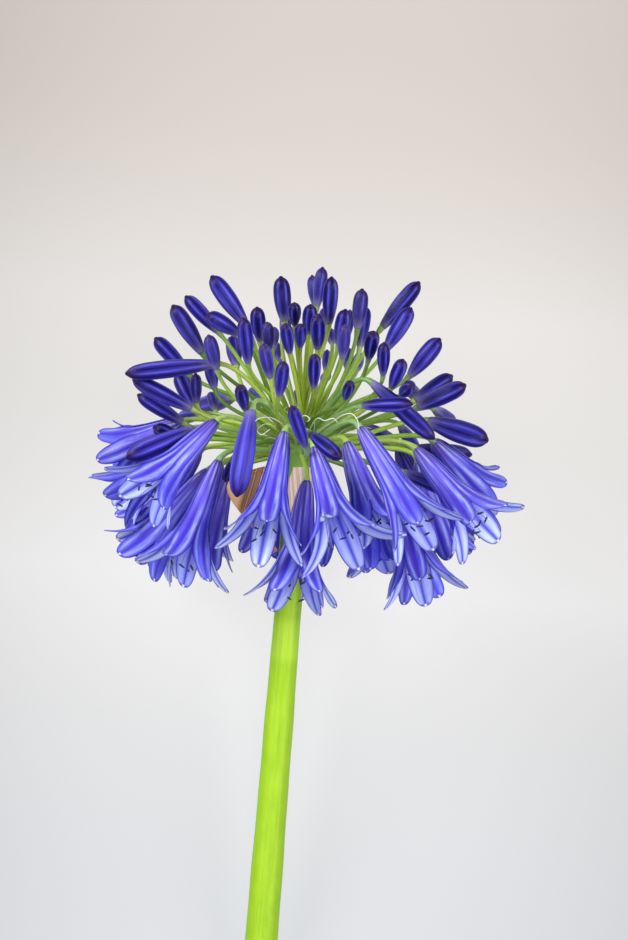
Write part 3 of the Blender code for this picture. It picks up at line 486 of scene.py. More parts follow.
class Settler:
    """Moves the florets a little until no two of them, nor the surface, press into each other.

    Each floret is held by a few points: root, base, tip, the bow of its stalk and, for an open flower,
    the bend of each petal. Balls spread along it follow these points and push the balls of the others.
    """

    def __init__(self, florets):
        self.florets = florets
        self.points = []
        self.hold = []
        self.balls = []
        self.roots = {}
        self.handles = []
        for number, floret in enumerate(florets):
            self.handles.append(self.add_floret(number, floret))
        self.add_fixed()
        self.points = np.array(self.points)
        self.goal = self.points.copy()
        self.hold = np.array(self.hold)
        self.owner = np.array([ball[0] for ball in self.balls])
        self.radius = np.array([ball[1] for ball in self.balls])
        self.index = np.array([ball[2] for ball in self.balls])
        self.weight = np.array([ball[3] for ball in self.balls])
        self.offset = np.array([ball[4] for ball in self.balls])
        self.kin = [ball[5] for ball in self.balls]

    def add_point(self, place, hold):
        """A point that may move, held to its first place by this much across the view and in depth."""
        self.points.append(np.array(place, float))
        self.hold.append(hold)
        return len(self.points) - 1

    def root_of(self, number, floret):
        """The root's point: one for each lone stalk, one shared by each bunch."""
        key = floret.node if floret.kind == "crown" else number
        if key not in self.roots:
            mates = [f for f in self.florets if f.kind == "crown" and f.node == floret.node] or [floret]
            out = unit(sum(unit(mate.base) for mate in mates))
            radius = FOOT_SEAT if floret.kind == "crown" else ROOT_RADIUS
            self.roots[key] = (self.add_point(out * radius, (0.02, 0.02)), radius)
            if floret.kind == "crown":
                self.add_ball(-1 - len(self.roots), FOOT_RADIUS + 0.2, {self.roots[key][0]: 1.15}, key)
        return self.roots[key]

    def add_ball(self, number, radius, weights, kin, offset=(0.0, 0.0)):
        """A ball that follows up to five points by the given weights."""
        pairs = list(weights.items()) + [(0, 0.0)] * (5 - len(weights))
        index = [pair[0] for pair in pairs]
        weight = [pair[1] for pair in pairs]
        self.balls.append((number, radius, index, weight, offset, kin))

    def add_floret(self, number, floret):
        """The points and balls of one floret."""
        root, root_radius = self.root_of(number, floret)
        base = self.add_point(floret.base, (0.10, 0.02))
        tip = self.add_point(floret.tip, (0.10, 0.02))
        bow = self.add_point((0, 0, 0), (0.02, 0.02))
        steps = CROWN_STEPS if floret.kind == "crown" else LONE_STEPS
        knots = [stalk_weights(t, (root, base, tip, bow), root_radius, floret) for t in steps]
        stalk_kin = floret.node if floret.kind == "crown" else "scape"
        for piece in range(len(steps) - 1):
            count = round(20 * (steps[piece + 1] - steps[piece])) or 1
            for part in range(count):
                share = (part + 0.5) / count
                mixed = {}
                for knot, amount in ((knots[piece], 1 - share), (knots[piece + 1], share)):
                    for key, value in knot.items():
                        mixed[key] = mixed.get(key, 0.0) + value * amount
                self.add_ball(number, PEDICEL_RADIUS + SETTLE_SPARE, mixed, stalk_kin)
        if floret.kind == "bloom":
            return (root, base, tip, bow, self.add_petals(number, floret, base, tip))
        rows = max(4, round(floret.length / (0.5 * floret.size)))
        for row in range(rows):
            along = (row + 0.5) / rows
            radius = bud_radius(along, floret.size) + SETTLE_SPARE
            self.add_ball(number, radius, {base: 1 - along, tip: along}, None)
        return (root, base, tip, bow, ())

    def add_petals(self, number, floret, base, tip):
        """The balls of an open flower: its tube, the room in its mouth, and each petal's face."""
        for along in (0.06, 0.16, 0.27, 0.38, 0.48):
            radius = 1.5 + (TUBE_RADIUS - 1.5) * along / MOUTH_AT + SETTLE_SPARE + 0.3
            self.add_ball(number, radius, {base: 1 - along, tip: along}, None)
        self.add_ball(number, 7.0, {base: 0.26, tip: 0.74}, None)
        bends = []
        for petal in range(PETALS):
            bend = self.add_point((0, 0, 0), (0.03, 0.03))
            bends.append(bend)
            angle = 2 * math.pi * petal / PETALS
            for row in range(6):
                along = MOUTH_AT + (1.0 - MOUTH_AT) * (row + 0.8) / 6.0
                give = ((along - MOUTH_AT) / (1.0 - MOUTH_AT)) ** 1.5
                out = petal_radius(along, floret.size)
                half = 0.0 if row == 5 else petal_half_width(along) * 0.75
                for side in (-1, 0, 1) if half else (0,):
                    flat = (
                        out * math.cos(angle) - side * half * math.sin(angle),
                        out * math.sin(angle) + side * half * math.cos(angle),
                    )
                    weights = {base: 1 - along, tip: along, bend: give}
                    self.add_ball(number, 1.25 + SETTLE_SPARE, weights, None, flat)
        return tuple(bends)

    def add_fixed(self):
        """The crown, the stalk and the dry bracts, which don't give way."""
        for step in range(24):
            place = stalk_point(-4.0 - 3.0 * step)
            still = self.add_point(place, (1.0, 1.0))
            self.add_ball(-1, 5.6 if step else 6.8, {still: 1.0}, "scape")
        still = self.add_point((0, 0, 0), (1.0, 1.0))
        self.add_ball(-1, CROWN_RADIUS + 0.1, {still: 1.0}, "crown")
        for line in (SPATHE_LEFT, SPATHE_RIGHT):
            places = [np.array(place, float) for place, _ in line]
            widths = [half for _, half in line]
            for first, second, wide, next_wide in zip(places, places[1:], widths, widths[1:]):
                for share in (0.0, 0.5):
                    middle = first + (second - first) * share
                    half = wide + (next_wide - wide) * share
                    for side in (-1, -0.5, 0, 0.5, 1):
                        point = middle + np.array((side * half, 0, -0.25 * side * side * half))
                        still = self.add_point(point, (1.0, 1.0))
                        self.add_ball(-2, 1.4, {still: 1.0}, "spathe")

    def axes(self):
        """Each floret's two side directions, as it points now."""
        first = np.zeros((len(self.florets) + 1, 3))
        second = np.zeros((len(self.florets) + 1, 3))
        for number, floret in enumerate(self.florets):
            _, base, tip, _, bends = self.handles[number]
            if bends:
                out = unit(self.points[tip] - self.points[base])
                first[number], second[number] = side_axes(out, floret.turn)
        return first, second

    def places(self, axes):
        """Where every ball is now."""
        placed = np.einsum("bk,bkc->bc", self.weight, self.points[self.index])
        owner = np.where(self.owner < 0, len(self.florets), self.owner)
        placed += self.offset[:, :1] * axes[0][owner] + self.offset[:, 1:] * axes[1][owner]
        return placed

    def neighbours(self, placed, reach):
        """Pairs of balls of different florets that are near enough to touch soon."""
        tree = KDTree(len(placed))
        for number, place in enumerate(placed):
            tree.insert(place, number)
        tree.balance()
        pairs = []
        widest = float(self.radius.max())
        for number, place in enumerate(placed):
            own = self.radius[number]
            for _, other, distance in tree.find_range(place, own + widest + reach):
                if other <= number or distance > own + self.radius[other] + reach:
                    continue
                if self.owner[other] == self.owner[number]:
                    continue
                if self.kin[number] is not None and self.kin[number] == self.kin[other]:
                    continue
                if {self.kin[number], self.kin[other]} == {"scape", "crown"}:
                    continue
                if self.owner[number] < 0 and self.owner[other] < 0 and "spathe" in (
                    self.kin[number], self.kin[other],
                ):
                    continue
                if "crown" in (self.kin[number], self.kin[other]) and np.linalg.norm(place) < 14:
                    continue
                pairs.append((number, other))
        return np.array(pairs).T

    def run(self):
        """Presses the florets apart step by step."""
        down = TURN[2]
        for step in range(SETTLE_STEPS):
            axes = self.axes()
            placed = self.places(axes)
            if step % 10 == 0:
                first, second = self.neighbours(placed, 3.0)
            gap = placed[second] - placed[first]
            distance = np.maximum(np.linalg.norm(gap, axis=1), 1e-6)
            deep = np.maximum(self.radius[first] + self.radius[second] - distance, 0.0)
            push = (0.5 * deep / distance)[:, None] * gap
            moves = np.zeros_like(placed)
            for axis in range(3):
                moves[:, axis] += np.bincount(second, push[:, axis], len(placed))
                moves[:, axis] -= np.bincount(first, push[:, axis], len(placed))
            height = placed @ down + CROWN[2] - self.radius - FLOOR_SPARE
            sunk = np.where(self.owner >= 0, np.maximum(-height, 0.0), 0.0)
            moves += sunk[:, None] * down
            self.follow(moves, step)

    def follow(self, moves, step):
        """Moves the points that the pushed balls hang on, then holds lengths, roots and goals."""
        pushed = (np.abs(moves).sum(axis=1) > 1e-7).astype(float)
        total = np.zeros_like(self.points)
        share = np.full(len(self.points), 1e-9)
        for k in range(self.index.shape[1]):
            for axis in range(3):
                total[:, axis] += np.bincount(
                    self.index[:, k], self.weight[:, k] * moves[:, axis], len(self.points)
                )
            share += np.bincount(self.index[:, k], self.weight[:, k] ** 2 * pushed, len(self.points))
        free = self.hold[:, 0] < 1.0
        shift = total / np.maximum(share, 0.6)[:, None] * 1.2
        self.points[free] += shift[free]
        if step < SETTLE_STEPS - SETTLE_FREE_STEPS:
            pull = (self.goal - self.points) * np.stack(
                (self.hold[:, 0], self.hold[:, 0], self.hold[:, 1]), axis=1
            )
            self.points[free] += pull[free]
        for number, floret in enumerate(self.florets):
            _, base, tip, _, _ = self.handles[number]
            middle = 0.5 * (self.points[base] + self.points[tip])
            half = unit(self.points[tip] - self.points[base]) * floret.length * 0.5
            self.points[base] = middle - half
            self.points[tip] = middle + half
        for root, radius in self.roots.values():
            self.points[root] = unit(self.points[root]) * radius


def stalk_point(y):
    """The middle of the stalk at this height below the crown."""
    return np.array((y * math.tan(STALK_LEAN), y, 0.0))


def stalk_weights(t, handle, root_radius, floret):
    """How the point at t of a flower stalk's curve follows its root, base, tip and bow."""
    root, base, tip, bow = handle[:4]
    near_root = 3 * (1 - t) ** 2 * t
    near_base = 3 * (1 - t) * t * t
    reach = END_HANDLE * floret.reach / floret.length
    return {
        root: (1 - t) ** 3 + near_root * (1 + ROOT_HANDLE * floret.reach / root_radius),
        base: t ** 3 + near_base * (1 + reach),
        tip: -near_base * reach,
        bow: 4 * t * (1 - t),
    }


def curve_point(t, handle, points, root_radius, floret):
    """A point on a settled flower stalk's curve."""
    weights = stalk_weights(t, handle, root_radius, floret)
    return sum(points[index] * amount for index, amount in weights.items())


def smooth_step(low, high, value):
    """0 below low, 1 above high, and an easy rise between."""
    share = np.clip((value - low) / (high - low), 0.0, 1.0)
    return share * share * (3.0 - 2.0 * share)


def lay(points):
    """Places in the head's frame, in millimetres, as metres where the flower lies."""
    return (np.asarray(points, float) @ TURN.T + CROWN) * MM


def face_outwards(mesh):
    """Turns the faces of every closed body of the mesh outwards."""
    bm = bmesh.new()
    bm.from_mesh(mesh)
    bmesh.ops.recalc_face_normals(bm, faces=bm.faces)
    bm.to_mesh(mesh)
    bm.free()


def write_vectors(mesh, **gathered):
    """Writes the gathered vectors to the mesh's points, for the finishes and the trees to read."""
    for label, rows in gathered.items():
        values = mesh.attributes.new(label, "FLOAT_VECTOR", "POINT")
        values.data.foreach_set("vector", np.concatenate(rows).ravel())


def round_body(angles, first, second, centres, radius, along):
    """Rings of points round a line of centres, with which way each faces and how far along it is."""
    rays = np.cos(angles)[:, None] * first + np.sin(angles)[:, None] * second
    rings = centres[:, None] + radius[..., None] * rays[None]
    skins = np.broadcast_arrays(np.cos(angles)[None], np.sin(angles)[None], along[:, None])
    return rings, np.stack(skins, axis=-1)


class Form:
    """Gathers the points and faces of one piece, and what its finish reads at each point.

    skin says where a point lies on its petal, bud or stalk; tint says which face or whorl it is on.
    """

    def __init__(self):
        self.points = []
        self.skins = []
        self.tints = []
        self.faces = []
        self.count = 0

    def add_points(self, points, skins, tints):
        """Adds points and returns the number of the first."""
        first = self.count
        self.points.append(np.reshape(points, (-1, 3)))
        self.skins.append(np.reshape(skins, (-1, 3)))
        self.tints.append(np.reshape(tints, (-1, 3)))
        self.count += len(self.points[-1])
        return first

    def add_walls(self, rings, skins, tints):
        """Joins each ring of points to the next and returns the points' numbers, ring by ring."""
        rows, around = rings.shape[:2]
        ids = self.add_points(rings, skins, tints) + np.arange(rows * around).reshape(rows, around)
        beside = np.roll(ids, -1, axis=1)
        quads = np.stack((ids[:-1], beside[:-1], beside[1:], ids[1:]), axis=-1)
        self.faces += quads.reshape(-1, 4).tolist()
        return ids

    def add_rings(self, rings, skins, tints):
        """Joins rings of points into one closed body; its two ends are closed with fans."""
        ids = self.add_walls(rings, skins, tints)
        for ring, row in ((ids[0][::-1], 0), (ids[-1], -1)):
            ends = [np.mean(values[row], axis=0) for values in (rings, skins, tints)]
            middle = self.add_points(*ends)
            self.faces += [[a, b, middle] for a, b in zip(ring, np.roll(ring, -1))]

    def add_sheet(self, outer, inner, skins, outer_tints, inner_tints):
        """A thin closed blade between an outer and an inner face of the same rows and columns."""
        across = outer.shape[1]
        around = 2 * across
        rings = np.concatenate((outer, inner[:, ::-1]), axis=1)
        ring_skins = np.concatenate((skins, skins[:, ::-1]), axis=1)
        ring_tints = np.concatenate((outer_tints, inner_tints[:, ::-1]), axis=1)
        ids = self.add_walls(rings, ring_skins, ring_tints)
        for ring in (ids[0][::-1], ids[-1]):
            for k in range(across - 1):
                self.faces.append([ring[k], ring[k + 1], ring[around - 2 - k], ring[around - 1 - k]])

    def mesh(self, name, material):
        """The finished mesh, laid on the surface, with its faces turned outwards."""
        mesh = bpy.data.meshes.new(name)
        points = lay(np.concatenate(self.points))
        mesh.from_pydata(points.tolist(), [], self.faces)
        write_vectors(mesh, skin=self.skins, tint=self.tints)
        face_outwards(mesh)
        mesh.materials.append(material)
        mesh.shade_smooth()
        return mesh


def settle_in(name, mesh, slot, *nodes):
    """Makes the piece from its mesh, hangs it on the root and hides the solids that it stands for; the
    finish's name given as slot is not used.
    """
    piece = bpy.data.objects.new(name, mesh)
    bpy.context.scene.collection.objects.link(piece)
    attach(piece, "root")
    if nodes:
        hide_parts(*nodes)


def bloom_axes(floret, handle, points):
    """Foot of the tube, the way it points, and its two side directions."""
    base, tip = points[handle[1]], points[handle[2]]
    out = unit(tip - base)
    return (base, out, *side_axes(out, floret.turn))


def tepal_middle(floret, axes, swing, bend, along, lift, curl):
    """A petal's middle line, from the foot of the tube to its tip, at each share of the length."""
    base, out, first, second = axes
    outward = first * math.cos(swing) + second * math.sin(swing)
    past = np.clip((along - MOUTH_AT) / (1.0 - MOUTH_AT), 0.0, 1.0)
    in_tube = FOOT_OF_TUBE_RADIUS + (TUBE_RADIUS - FOOT_OF_TUBE_RADIUS) * (along / MOUTH_AT) ** 0.62
    radius = np.where(along < MOUTH_AT, in_tube, petal_radius(along, floret.size))
    radius = radius + lift * (np.minimum(along / 0.1, 1.0) + 1.5 * past) + 2.2 * curl * past ** 4
    ahead = along * floret.length - 1.3 * curl * past ** 5
    return base + ahead[:, None] * out + radius[:, None] * outward + (past ** 1.5)[:, None] * bend


def lobe_half_width(past, inner_whorl):
    """Half the width of a petal beyond the mouth of the tube, blunt and rounded at its tip."""
    widest, bluntness = LOBES[inner_whorl]
    fill = 0.74 + 0.26 * smooth_step(0.0, 0.55, past)
    taper = 0.10 + 0.90 * np.sqrt(np.maximum(1.0 - past ** bluntness, 0.0))
    return widest * fill * taper


def room_beside(middle, neighbour, sideways):
    """How far a petal may reach sideways before it is well past the edge of the one beside it."""
    gap = neighbour - middle
    away = np.linalg.norm(gap, axis=1)
    lean = np.maximum((gap @ sideways) / np.maximum(away, 1e-6), LEAST_LEAN)
    return np.maximum(EDGE_SHARE * away / lean, LEAST_REACH)


def add_tepal(form, floret, axes, bends, k, chance):
    """One petal: a thin blade that is part of the tube below and a keeled, rounded lobe above."""
    base, out, first, second = axes
    inner_whorl = k % 2
    swing = 2.0 * math.pi * k / PETALS
    outward = first * math.cos(swing) + second * math.sin(swing)
    sideways = second * math.cos(swing) - first * math.sin(swing)
    along = PETAL_ALONG
    past = np.clip((along - MOUTH_AT) / (1.0 - MOUTH_AT), 0.0, 1.0)
    curl = chance.uniform(*CURLS[inner_whorl])
    curl += 0.0 if inner_whorl else REFLEXED.get(floret.node, 0.0)
    twist = chance.uniform(-TWIST, TWIST)
    phase = chance.uniform(0.0, 1.0)
    own_shade = chance.uniform(0.0, 1.0)
    lift = WHORL_STEP * (1 - 2 * inner_whorl)
    middle = tepal_middle(floret, axes, swing, bends[k], along, lift, curl)
    step = math.pi * 2.0 / PETALS
    halves = []
    lobe = lobe_half_width(past, inner_whorl)
    radius = np.linalg.norm(np.cross(middle - base, out), axis=1)
    radius = np.maximum(radius, LEAST_TUBE_RADIUS)
    tube = radius * step * 0.5 * TUBE_OVERLAP[inner_whorl]
    blend = smooth_step(*LOBE_START, along)
    for side in (-1, 1):
        beside = (k + side) % PETALS
        other = tepal_middle(
            floret, axes, swing + side * step, bends[beside], along, -lift, NEIGHBOUR_CURL
        )
        room = room_beside(middle, other, sideways * side)
        halves.append(tube * (1.0 - blend) + np.minimum(lobe, room) * blend)
    ahead = np.gradient(middle, axis=0)
    ahead /= np.linalg.norm(ahead, axis=1)[:, None]
    across = sideways - ahead * (ahead @ sideways)[:, None]
    across /= np.linalg.norm(across, axis=1)[:, None]
    away = np.cross(across, ahead)
    turn = (twist * past ** 2)[:, None]
    across, away = across * np.cos(turn) + away * np.sin(turn), away * np.cos(turn) - across * np.sin(turn)
    hollow = LOBE_HOLLOW[inner_whorl] * (1.0 - 0.9 * past ** 3)
    curve = (1.0 - blend) / radius + blend * hollow
    curve = np.where(np.abs(curve) < 1e-3, 1e-3, curve)[:, None]
    u = PETAL_ACROSS[None, :]
    arc = np.where(u < 0.0, u * halves[0][:, None], u * halves[1][:, None])
    bow = arc * curve
    sheet = middle[:, None] + across[:, None] * (np.sin(bow) / curve)[..., None]
    sheet = sheet - away[:, None] * ((1.0 - np.cos(bow)) / curve)[..., None]
    facing = away[:, None] * np.cos(bow)[..., None] + across[:, None] * np.sin(bow)[..., None]
    keel = KEEL_HEIGHT * np.exp(-(u / 0.16) ** 2) * np.minimum(along / 0.25, 1.0)[:, None]
    keel = keel * (1.0 - 0.6 * past ** 4)[:, None]
    wave = WAVE_HEIGHT[inner_whorl] * (past * (1.0 - past) * 4.0)[:, None] * np.abs(u) ** 3
    wave = wave * np.sin(2.0 * np.pi * (WAVES * along[:, None] + phase + 0.25 * np.sign(u)))
    sheet = sheet + facing * (keel + wave)[..., None]
    thick = 0.5 * PETAL_THICKNESS * (1.0 - 0.72 * u ** 4) * (1.0 - 0.25 * past)[:, None]
    skins = np.stack(np.broadcast_arrays(u, own_shade + k, along[:, None]), axis=-1)
    tints = [np.broadcast_to((face, inner_whorl, own_shade), sheet.shape) for face in (0.0, 1.0)]
    form.add_sheet(sheet + facing * thick[..., None], sheet - facing * thick[..., None], skins, *tints)


def make_petals(floret, handle, points, number, finish):
    """The six petals of an open flower."""
    chance = random.Random(PETAL_SEED + number)
    form = Form()
    axes = bloom_axes(floret, handle, points)
    bends = [points[bend] for bend in handle[4]]
    for k in range(PETALS):
        add_tepal(form, floret, axes, bends, k, chance)
    mesh = form.mesh(floret.node + "_petals", finish)
    settle_in(floret.node + "_petals", mesh, "petal_violet", floret.node)


class Lines:
    """Gathers open lines that a round section is swept along: places, thickness, skin and tint."""

    def __init__(self):
        self.points = []
        self.girths = []
        self.skins = []
        self.tints = []
        self.aims = []
        self.edges = []
        self.count = 0

    def add(self, path, girths, tint, aim=(0.0, 0.0, 1.0)):
        """One more line, thickest radius at each point, with the same tint all along."""
        steps = len(path)
        self.points.append(np.asarray(path, float))
        self.girths.append(np.broadcast_to(girths, steps) * MM)
        along = np.linspace(0.0, 1.0, steps)
        self.skins.append(np.stack((along * 0, along * 0 + self.count, along), axis=1))
        self.tints.append(np.broadcast_to(tint, (steps, 3)))
        self.aims.append(np.broadcast_to(TURN @ np.asarray(aim, float), (steps, 3)))
        self.edges += [(self.count + i, self.count + i + 1) for i in range(steps - 1)]
        self.count += steps

    def mesh(self, name):
        """The bare lines, with what the sweep and the finish read at each point."""
        mesh = bpy.data.meshes.new(name)
        mesh.from_pydata(lay(np.concatenate(self.points)).tolist(), self.edges, [])
        girth = mesh.attributes.new("girth", "FLOAT", "POINT")
        girth.data.foreach_set("value", np.concatenate(self.girths))
        write_vectors(mesh, skin=self.skins, tint=self.tints, aim=self.aims)
        return mesh


def add_stamens(filaments, anthers, floret, handle, points, number):
    """Six curved stamens and the style of one open flower."""
    chance = random.Random(STAMEN_SEED + number)
    base, out, first, second = bloom_axes(floret, handle, points)
    bends = [points[bend] for bend in handle[4]]
    middle_bend = sum(bends) / PETALS
    droop = np.array((0.0, -1.0, 0.0))
    droop = droop - out * float(droop @ out)
    for k in range(PETALS + 1):
        style = k == PETALS
        swing = 2.0 * math.pi * (k + chance.uniform(-0.2, 0.2)) / PETALS
        ray = first * math.cos(swing) + second * math.sin(swing)
        reach = chance.uniform(*FILAMENT_REACH) + (STYLE_FURTHER if style else 0.0)
        spread = STYLE_SPREAD if style else chance.uniform(*FILAMENT_SPREAD)
        far = petal_radius(reach, floret.size) * spread
        path = []
        for t in np.linspace(0.0, 1.0, FILAMENT_STEPS):
            along = FILAMENT_FOOT + (reach - FILAMENT_FOOT) * t
            past = max(along - MOUTH_AT, 0.0) / (1.0 - MOUTH_AT)
            side = (1.2 + (far - 1.2) * t ** 1.3) if not style else far * t
            sag = FILAMENT_SAG * math.sin(math.pi * min(t * 1.1, 1.0)) * t
            path.append(
                base + out * (along * floret.length) + ray * side + droop * sag
                + (0.4 * middle_bend + 0.5 * bends[k % PETALS]) * past ** 1.5
            )
        shade = chance.uniform(0.0, 1.0)
        filaments.add(path, np.linspace(1.0, 0.7, FILAMENT_STEPS) * FILAMENT_RADIUS, (0.0, 0.0, shade))
        if style:
            continue
        aside = ray * chance.uniform(-0.6, 0.6) + np.cross(out, ray) * chance.uniform(-1, 1)
        lean = unit(out * 0.3 + aside)
        anthers.add([path[-1] + lean * 0.3], 1.0, (0.0, 0.0, shade), lean)


def add_bud(form, base, tip, widest, light, chance, young=LONE_SHADE):
    """A closed bud: six faint ribs, a slim neck and a blunt end with a tiny point."""
    out = unit(tip - base)
    first, second = side_axes(out, chance.uniform(0.0, 60.0))
    angles = np.linspace(0.0, 2.0 * math.pi, BUD_SIDES, endpoint=False)
    rib = 0.5 + 0.5 * np.cos(PETALS * angles)
    radii = np.array([bud_radius(along, widest) for along in BUD_ALONG])
    past = np.clip((BUD_ALONG - BUD_FULLEST) / (1.0 - BUD_FULLEST), 0.0, 1.0)
    blunt = 0.5 * widest * (1.0 - past ** 4) ** 0.5
    radii += BUD_BLUNTNESS * (BUD_ALONG > BUD_FULLEST) * (blunt - radii)
    swell = np.sin(np.pi * BUD_ALONG ** 0.9)[:, None]
    ribs = 1.0 + BUD_RIB * swell * (2.0 * rib - 1.0)[None]
    radius = np.maximum(radii, LEAST_BUD_RADIUS)[:, None] * ribs
    centres = base + BUD_ALONG[:, None] * (tip - base)
    rings, skins = round_body(angles, first, second, centres, radius, BUD_ALONG)
    rings += out * BUD_NIB * smooth_step(BUD_NIB_START, 1.0, BUD_ALONG)[:, None, None]
    own_shade = np.full(radius.shape, chance.uniform(0.0, young))
    tints = np.stack(np.broadcast_arrays(rib[None], light, own_shade), axis=-1)
    form.add_rings(rings, skins, tints)


def pedicel_path(floret, handle, points, root_radius):
    """A flower stalk from just under the crown's skin to just inside the foot of its flower."""
    steps = np.linspace(0.0, 1.0, PEDICEL_STEPS)
    path = np.array([curve_point(t, handle, points, root_radius, floret) for t in steps])
    if floret.kind == "crown":
        start = unit(unit(floret.base) * 2.0 + unit(points[handle[0]])) * (CROWN_RADIUS - 1.0)
        path += ((1.0 - steps) ** 3)[:, None] * (start - path[0])
    out = unit(points[handle[2]] - points[handle[1]])
    path[-1] += out * PEDICEL_ENTRY
    return path


def pedicel_girths(thin, end):
    """Radius along a flower stalk: a little thicker at the crown and swollen under the flower."""
    t = np.linspace(0.0, 1.0, PEDICEL_STEPS)
    swollen = (end - thin) * smooth_step(FLOWER_SWELL_START, 1.0, t)
    return thin * (1.0 + FOOT_SWELL * (1.0 - t) ** 4) + swollen


def make_stalk(finish):
    """The thick green stalk with the swollen receptacle on top and a plainly cut lower end."""
    heights = np.concatenate((
        (-STALK_LENGTH, -STALK_LENGTH + 0.15, -STALK_LENGTH + 0.5),
        np.linspace(-STALK_LENGTH + 1.5, NECK_HEIGHT, STALK_ROWS),
        np.linspace(NECK_HEIGHT + 2.0, STALK_PROFILE[-1][0], RECEPTACLE_ROWS),
    ))
    radii = np.interp(heights, *np.array(STALK_PROFILE).T)
    radii[:2] -= CUT_BEVEL
    along = unit(stalk_point(-1.0)) * -1.0
    first, second = side_axes(along)
    angles = np.linspace(0.0, 2.0 * math.pi, FINE_STALK_SIDES, endpoint=False)
    flutes = 0.07 * np.cos(7.0 * angles) + 0.05 * np.cos(12.0 * angles + 1.0)
    fade = smooth_step(-STALK_LENGTH, -STALK_LENGTH + 6.0, heights)
    fade *= 1.0 - smooth_step(-20.0, -12.0, heights)
    sway = 0.06 * np.sin(heights / 9.0) + 0.05 * np.sin(heights / 4.1 + 1.0)
    radius = radii[:, None] + fade[:, None] * (flutes[None] + sway[:, None])
    centres = heights[:, None] * along
    rings, skins = round_body(angles, first, second, centres, radius, heights / STALK_LENGTH)
    form = Form()
    form.add_rings(rings, skins, np.zeros_like(skins))
    settle_in("stalk", form.mesh("stalk", finish), "stalk_green", "scape")


def smoothed(row, reach):
    """The row with each value averaged over its neighbours within this reach."""
    width = 2 * reach + 1
    return np.convolve(np.pad(row, reach, "edge"), np.ones(width) / width, "valid")


def make_spathe(name, line, finish, seed, slant, veins):
    """A dry papery bract: cupped, wrinkled and uneven at its tip."""
    chance = random.Random(seed)
    places = np.array([place for place, _ in line], float)
    widths = np.array([wide for _, wide in line], float)
    knots = np.linspace(0.0, 1.0, len(line))
    v = np.linspace(0.0, 1.0, BRACT_ROWS)
    middle = np.stack([smoothed(np.interp(v, knots, places[:, axis]), 4) for axis in range(3)], axis=1)
    middle[0], middle[-1] = places[0], places[-1]
    half = smoothed(np.interp(v, knots, widths), 3)
    u = np.linspace(-1.0, 1.0, BRACT_COLUMNS)[None]
    reach = u * half[:, None]
    sheet = middle[:, None] + np.stack(
        (reach, np.zeros_like(reach), -0.25 * u * u * half[:, None]), axis=-1
    )
    folds = np.zeros_like(reach)
    for _ in range(BRACT_FOLDS):
        height = chance.uniform(0.10, 0.24)
        waves = u * chance.uniform(4.0, 15.0) + chance.uniform(0.0, 6.3)
        folds += height * np.sin(waves + v[:, None] * chance.uniform(-3.0, 3.0))
    curl = 0.5 * half[:, None] * np.abs(u) ** 4 * smooth_step(0.2, 0.7, v)[:, None] * slant
    sheet[..., 2] += folds * np.minimum(half, 2.0)[:, None] * 0.5 + 0.18 * curl
    sheet[..., 1] += 0.5 * np.sin(u * 9.0 + 1.0) * smooth_step(0.75, 1.0, v)[:, None]
    facing = np.cross(np.gradient(sheet, axis=1), np.gradient(sheet, axis=0))
    facing /= np.maximum(np.linalg.norm(facing, axis=2), 1e-6)[..., None]
    thick = np.full_like(reach, BRACT_HALF_THICKNESS)
    skins = np.stack(np.broadcast_arrays(u, float(seed), v[:, None]), axis=-1)
    lean = sheet[..., 0] * math.cos(veins) + sheet[..., 1] * math.sin(veins)
    tints = [np.stack(np.broadcast_arrays(face, slant, lean), axis=-1) for face in (0.0, 1.0)]
    form = Form()
    form.add_sheet(sheet - facing * thick[..., None], sheet + facing * thick[..., None], skins, *tints)
    settle_in(name + "_paper", form.mesh(name + "_paper", finish), "dry_bract", name)


def smooth_route(route, count):
    """Points along a smooth curve through the given places."""
    places = np.array(route, float)
    places = np.concatenate((2 * places[:1] - places[1:2], places, 2 * places[-1:] - places[-2:-1]))
    path = []
    for t in np.linspace(0.0, len(route) - 1.0, count):
        k = min(int(t), len(route) - 2)
        u = t - k
        a, b, c, d = places[k:k + 4]
        path.append(0.5 * (2 * b + (c - a) * u + (2 * a - 5 * b + 4 * c - d) * u * u
                           + (3 * b - a - 3 * c + d) * u ** 3))
    return np.array(path)


def add_threads(lines):
    """The pale curled threads between the feet of the flower stalks."""
    chance = random.Random(THREAD_SEED)
    for _ in range(THREADS):
        swing = chance.uniform(0.0, 2.0 * math.pi)
        rise = chance.uniform(*THREAD_RISE)
        out = unit(np.array((math.cos(swing), rise, math.sin(swing))))
        first, second = side_axes(out)
        long = chance.uniform(*THREAD_LENGTH)
        bow = chance.uniform(-1.0, 1.0)
        curl = chance.uniform(*THREAD_CURL)
        loops = chance.uniform(*THREAD_LOOPS)
        start = chance.uniform(0.0, 6.3)
        path = []
        for t in np.linspace(0.0, 1.0, THREAD_STEPS):
            swirl = start + 2.0 * math.pi * loops * t
            side = first * (math.cos(swirl) - math.cos(start))
            side = side + second * (math.sin(swirl) - math.sin(start))
            ahead = out * (CROWN_RADIUS - 1.0 + long * t)
            path.append(ahead + side * curl * t + first * (bow * THREAD_BOW * t * t))
        girths = THREAD_RADIUS * (1.0 - 0.75 * np.linspace(0.0, 1.0, THREAD_STEPS))
        lines.add(path, girths, (0.0, 0.0, chance.uniform(0.0, 1.0)))
    for route in LONG_THREADS:
        girths = LONG_THREAD_RADIUS * (1.0 - 0.4 * np.linspace(0.0, 1.0, LONG_THREAD_STEPS))
        lines.add(smooth_route(route, LONG_THREAD_STEPS), girths, (0.0, 0.0, 0.5))


def wire(tree, *links):
    """Joins nodes: each link is a node, its output, the next node and its input."""
    for first, output, second, entry in links:
        tree.links.new(first.outputs[output], second.inputs[entry])


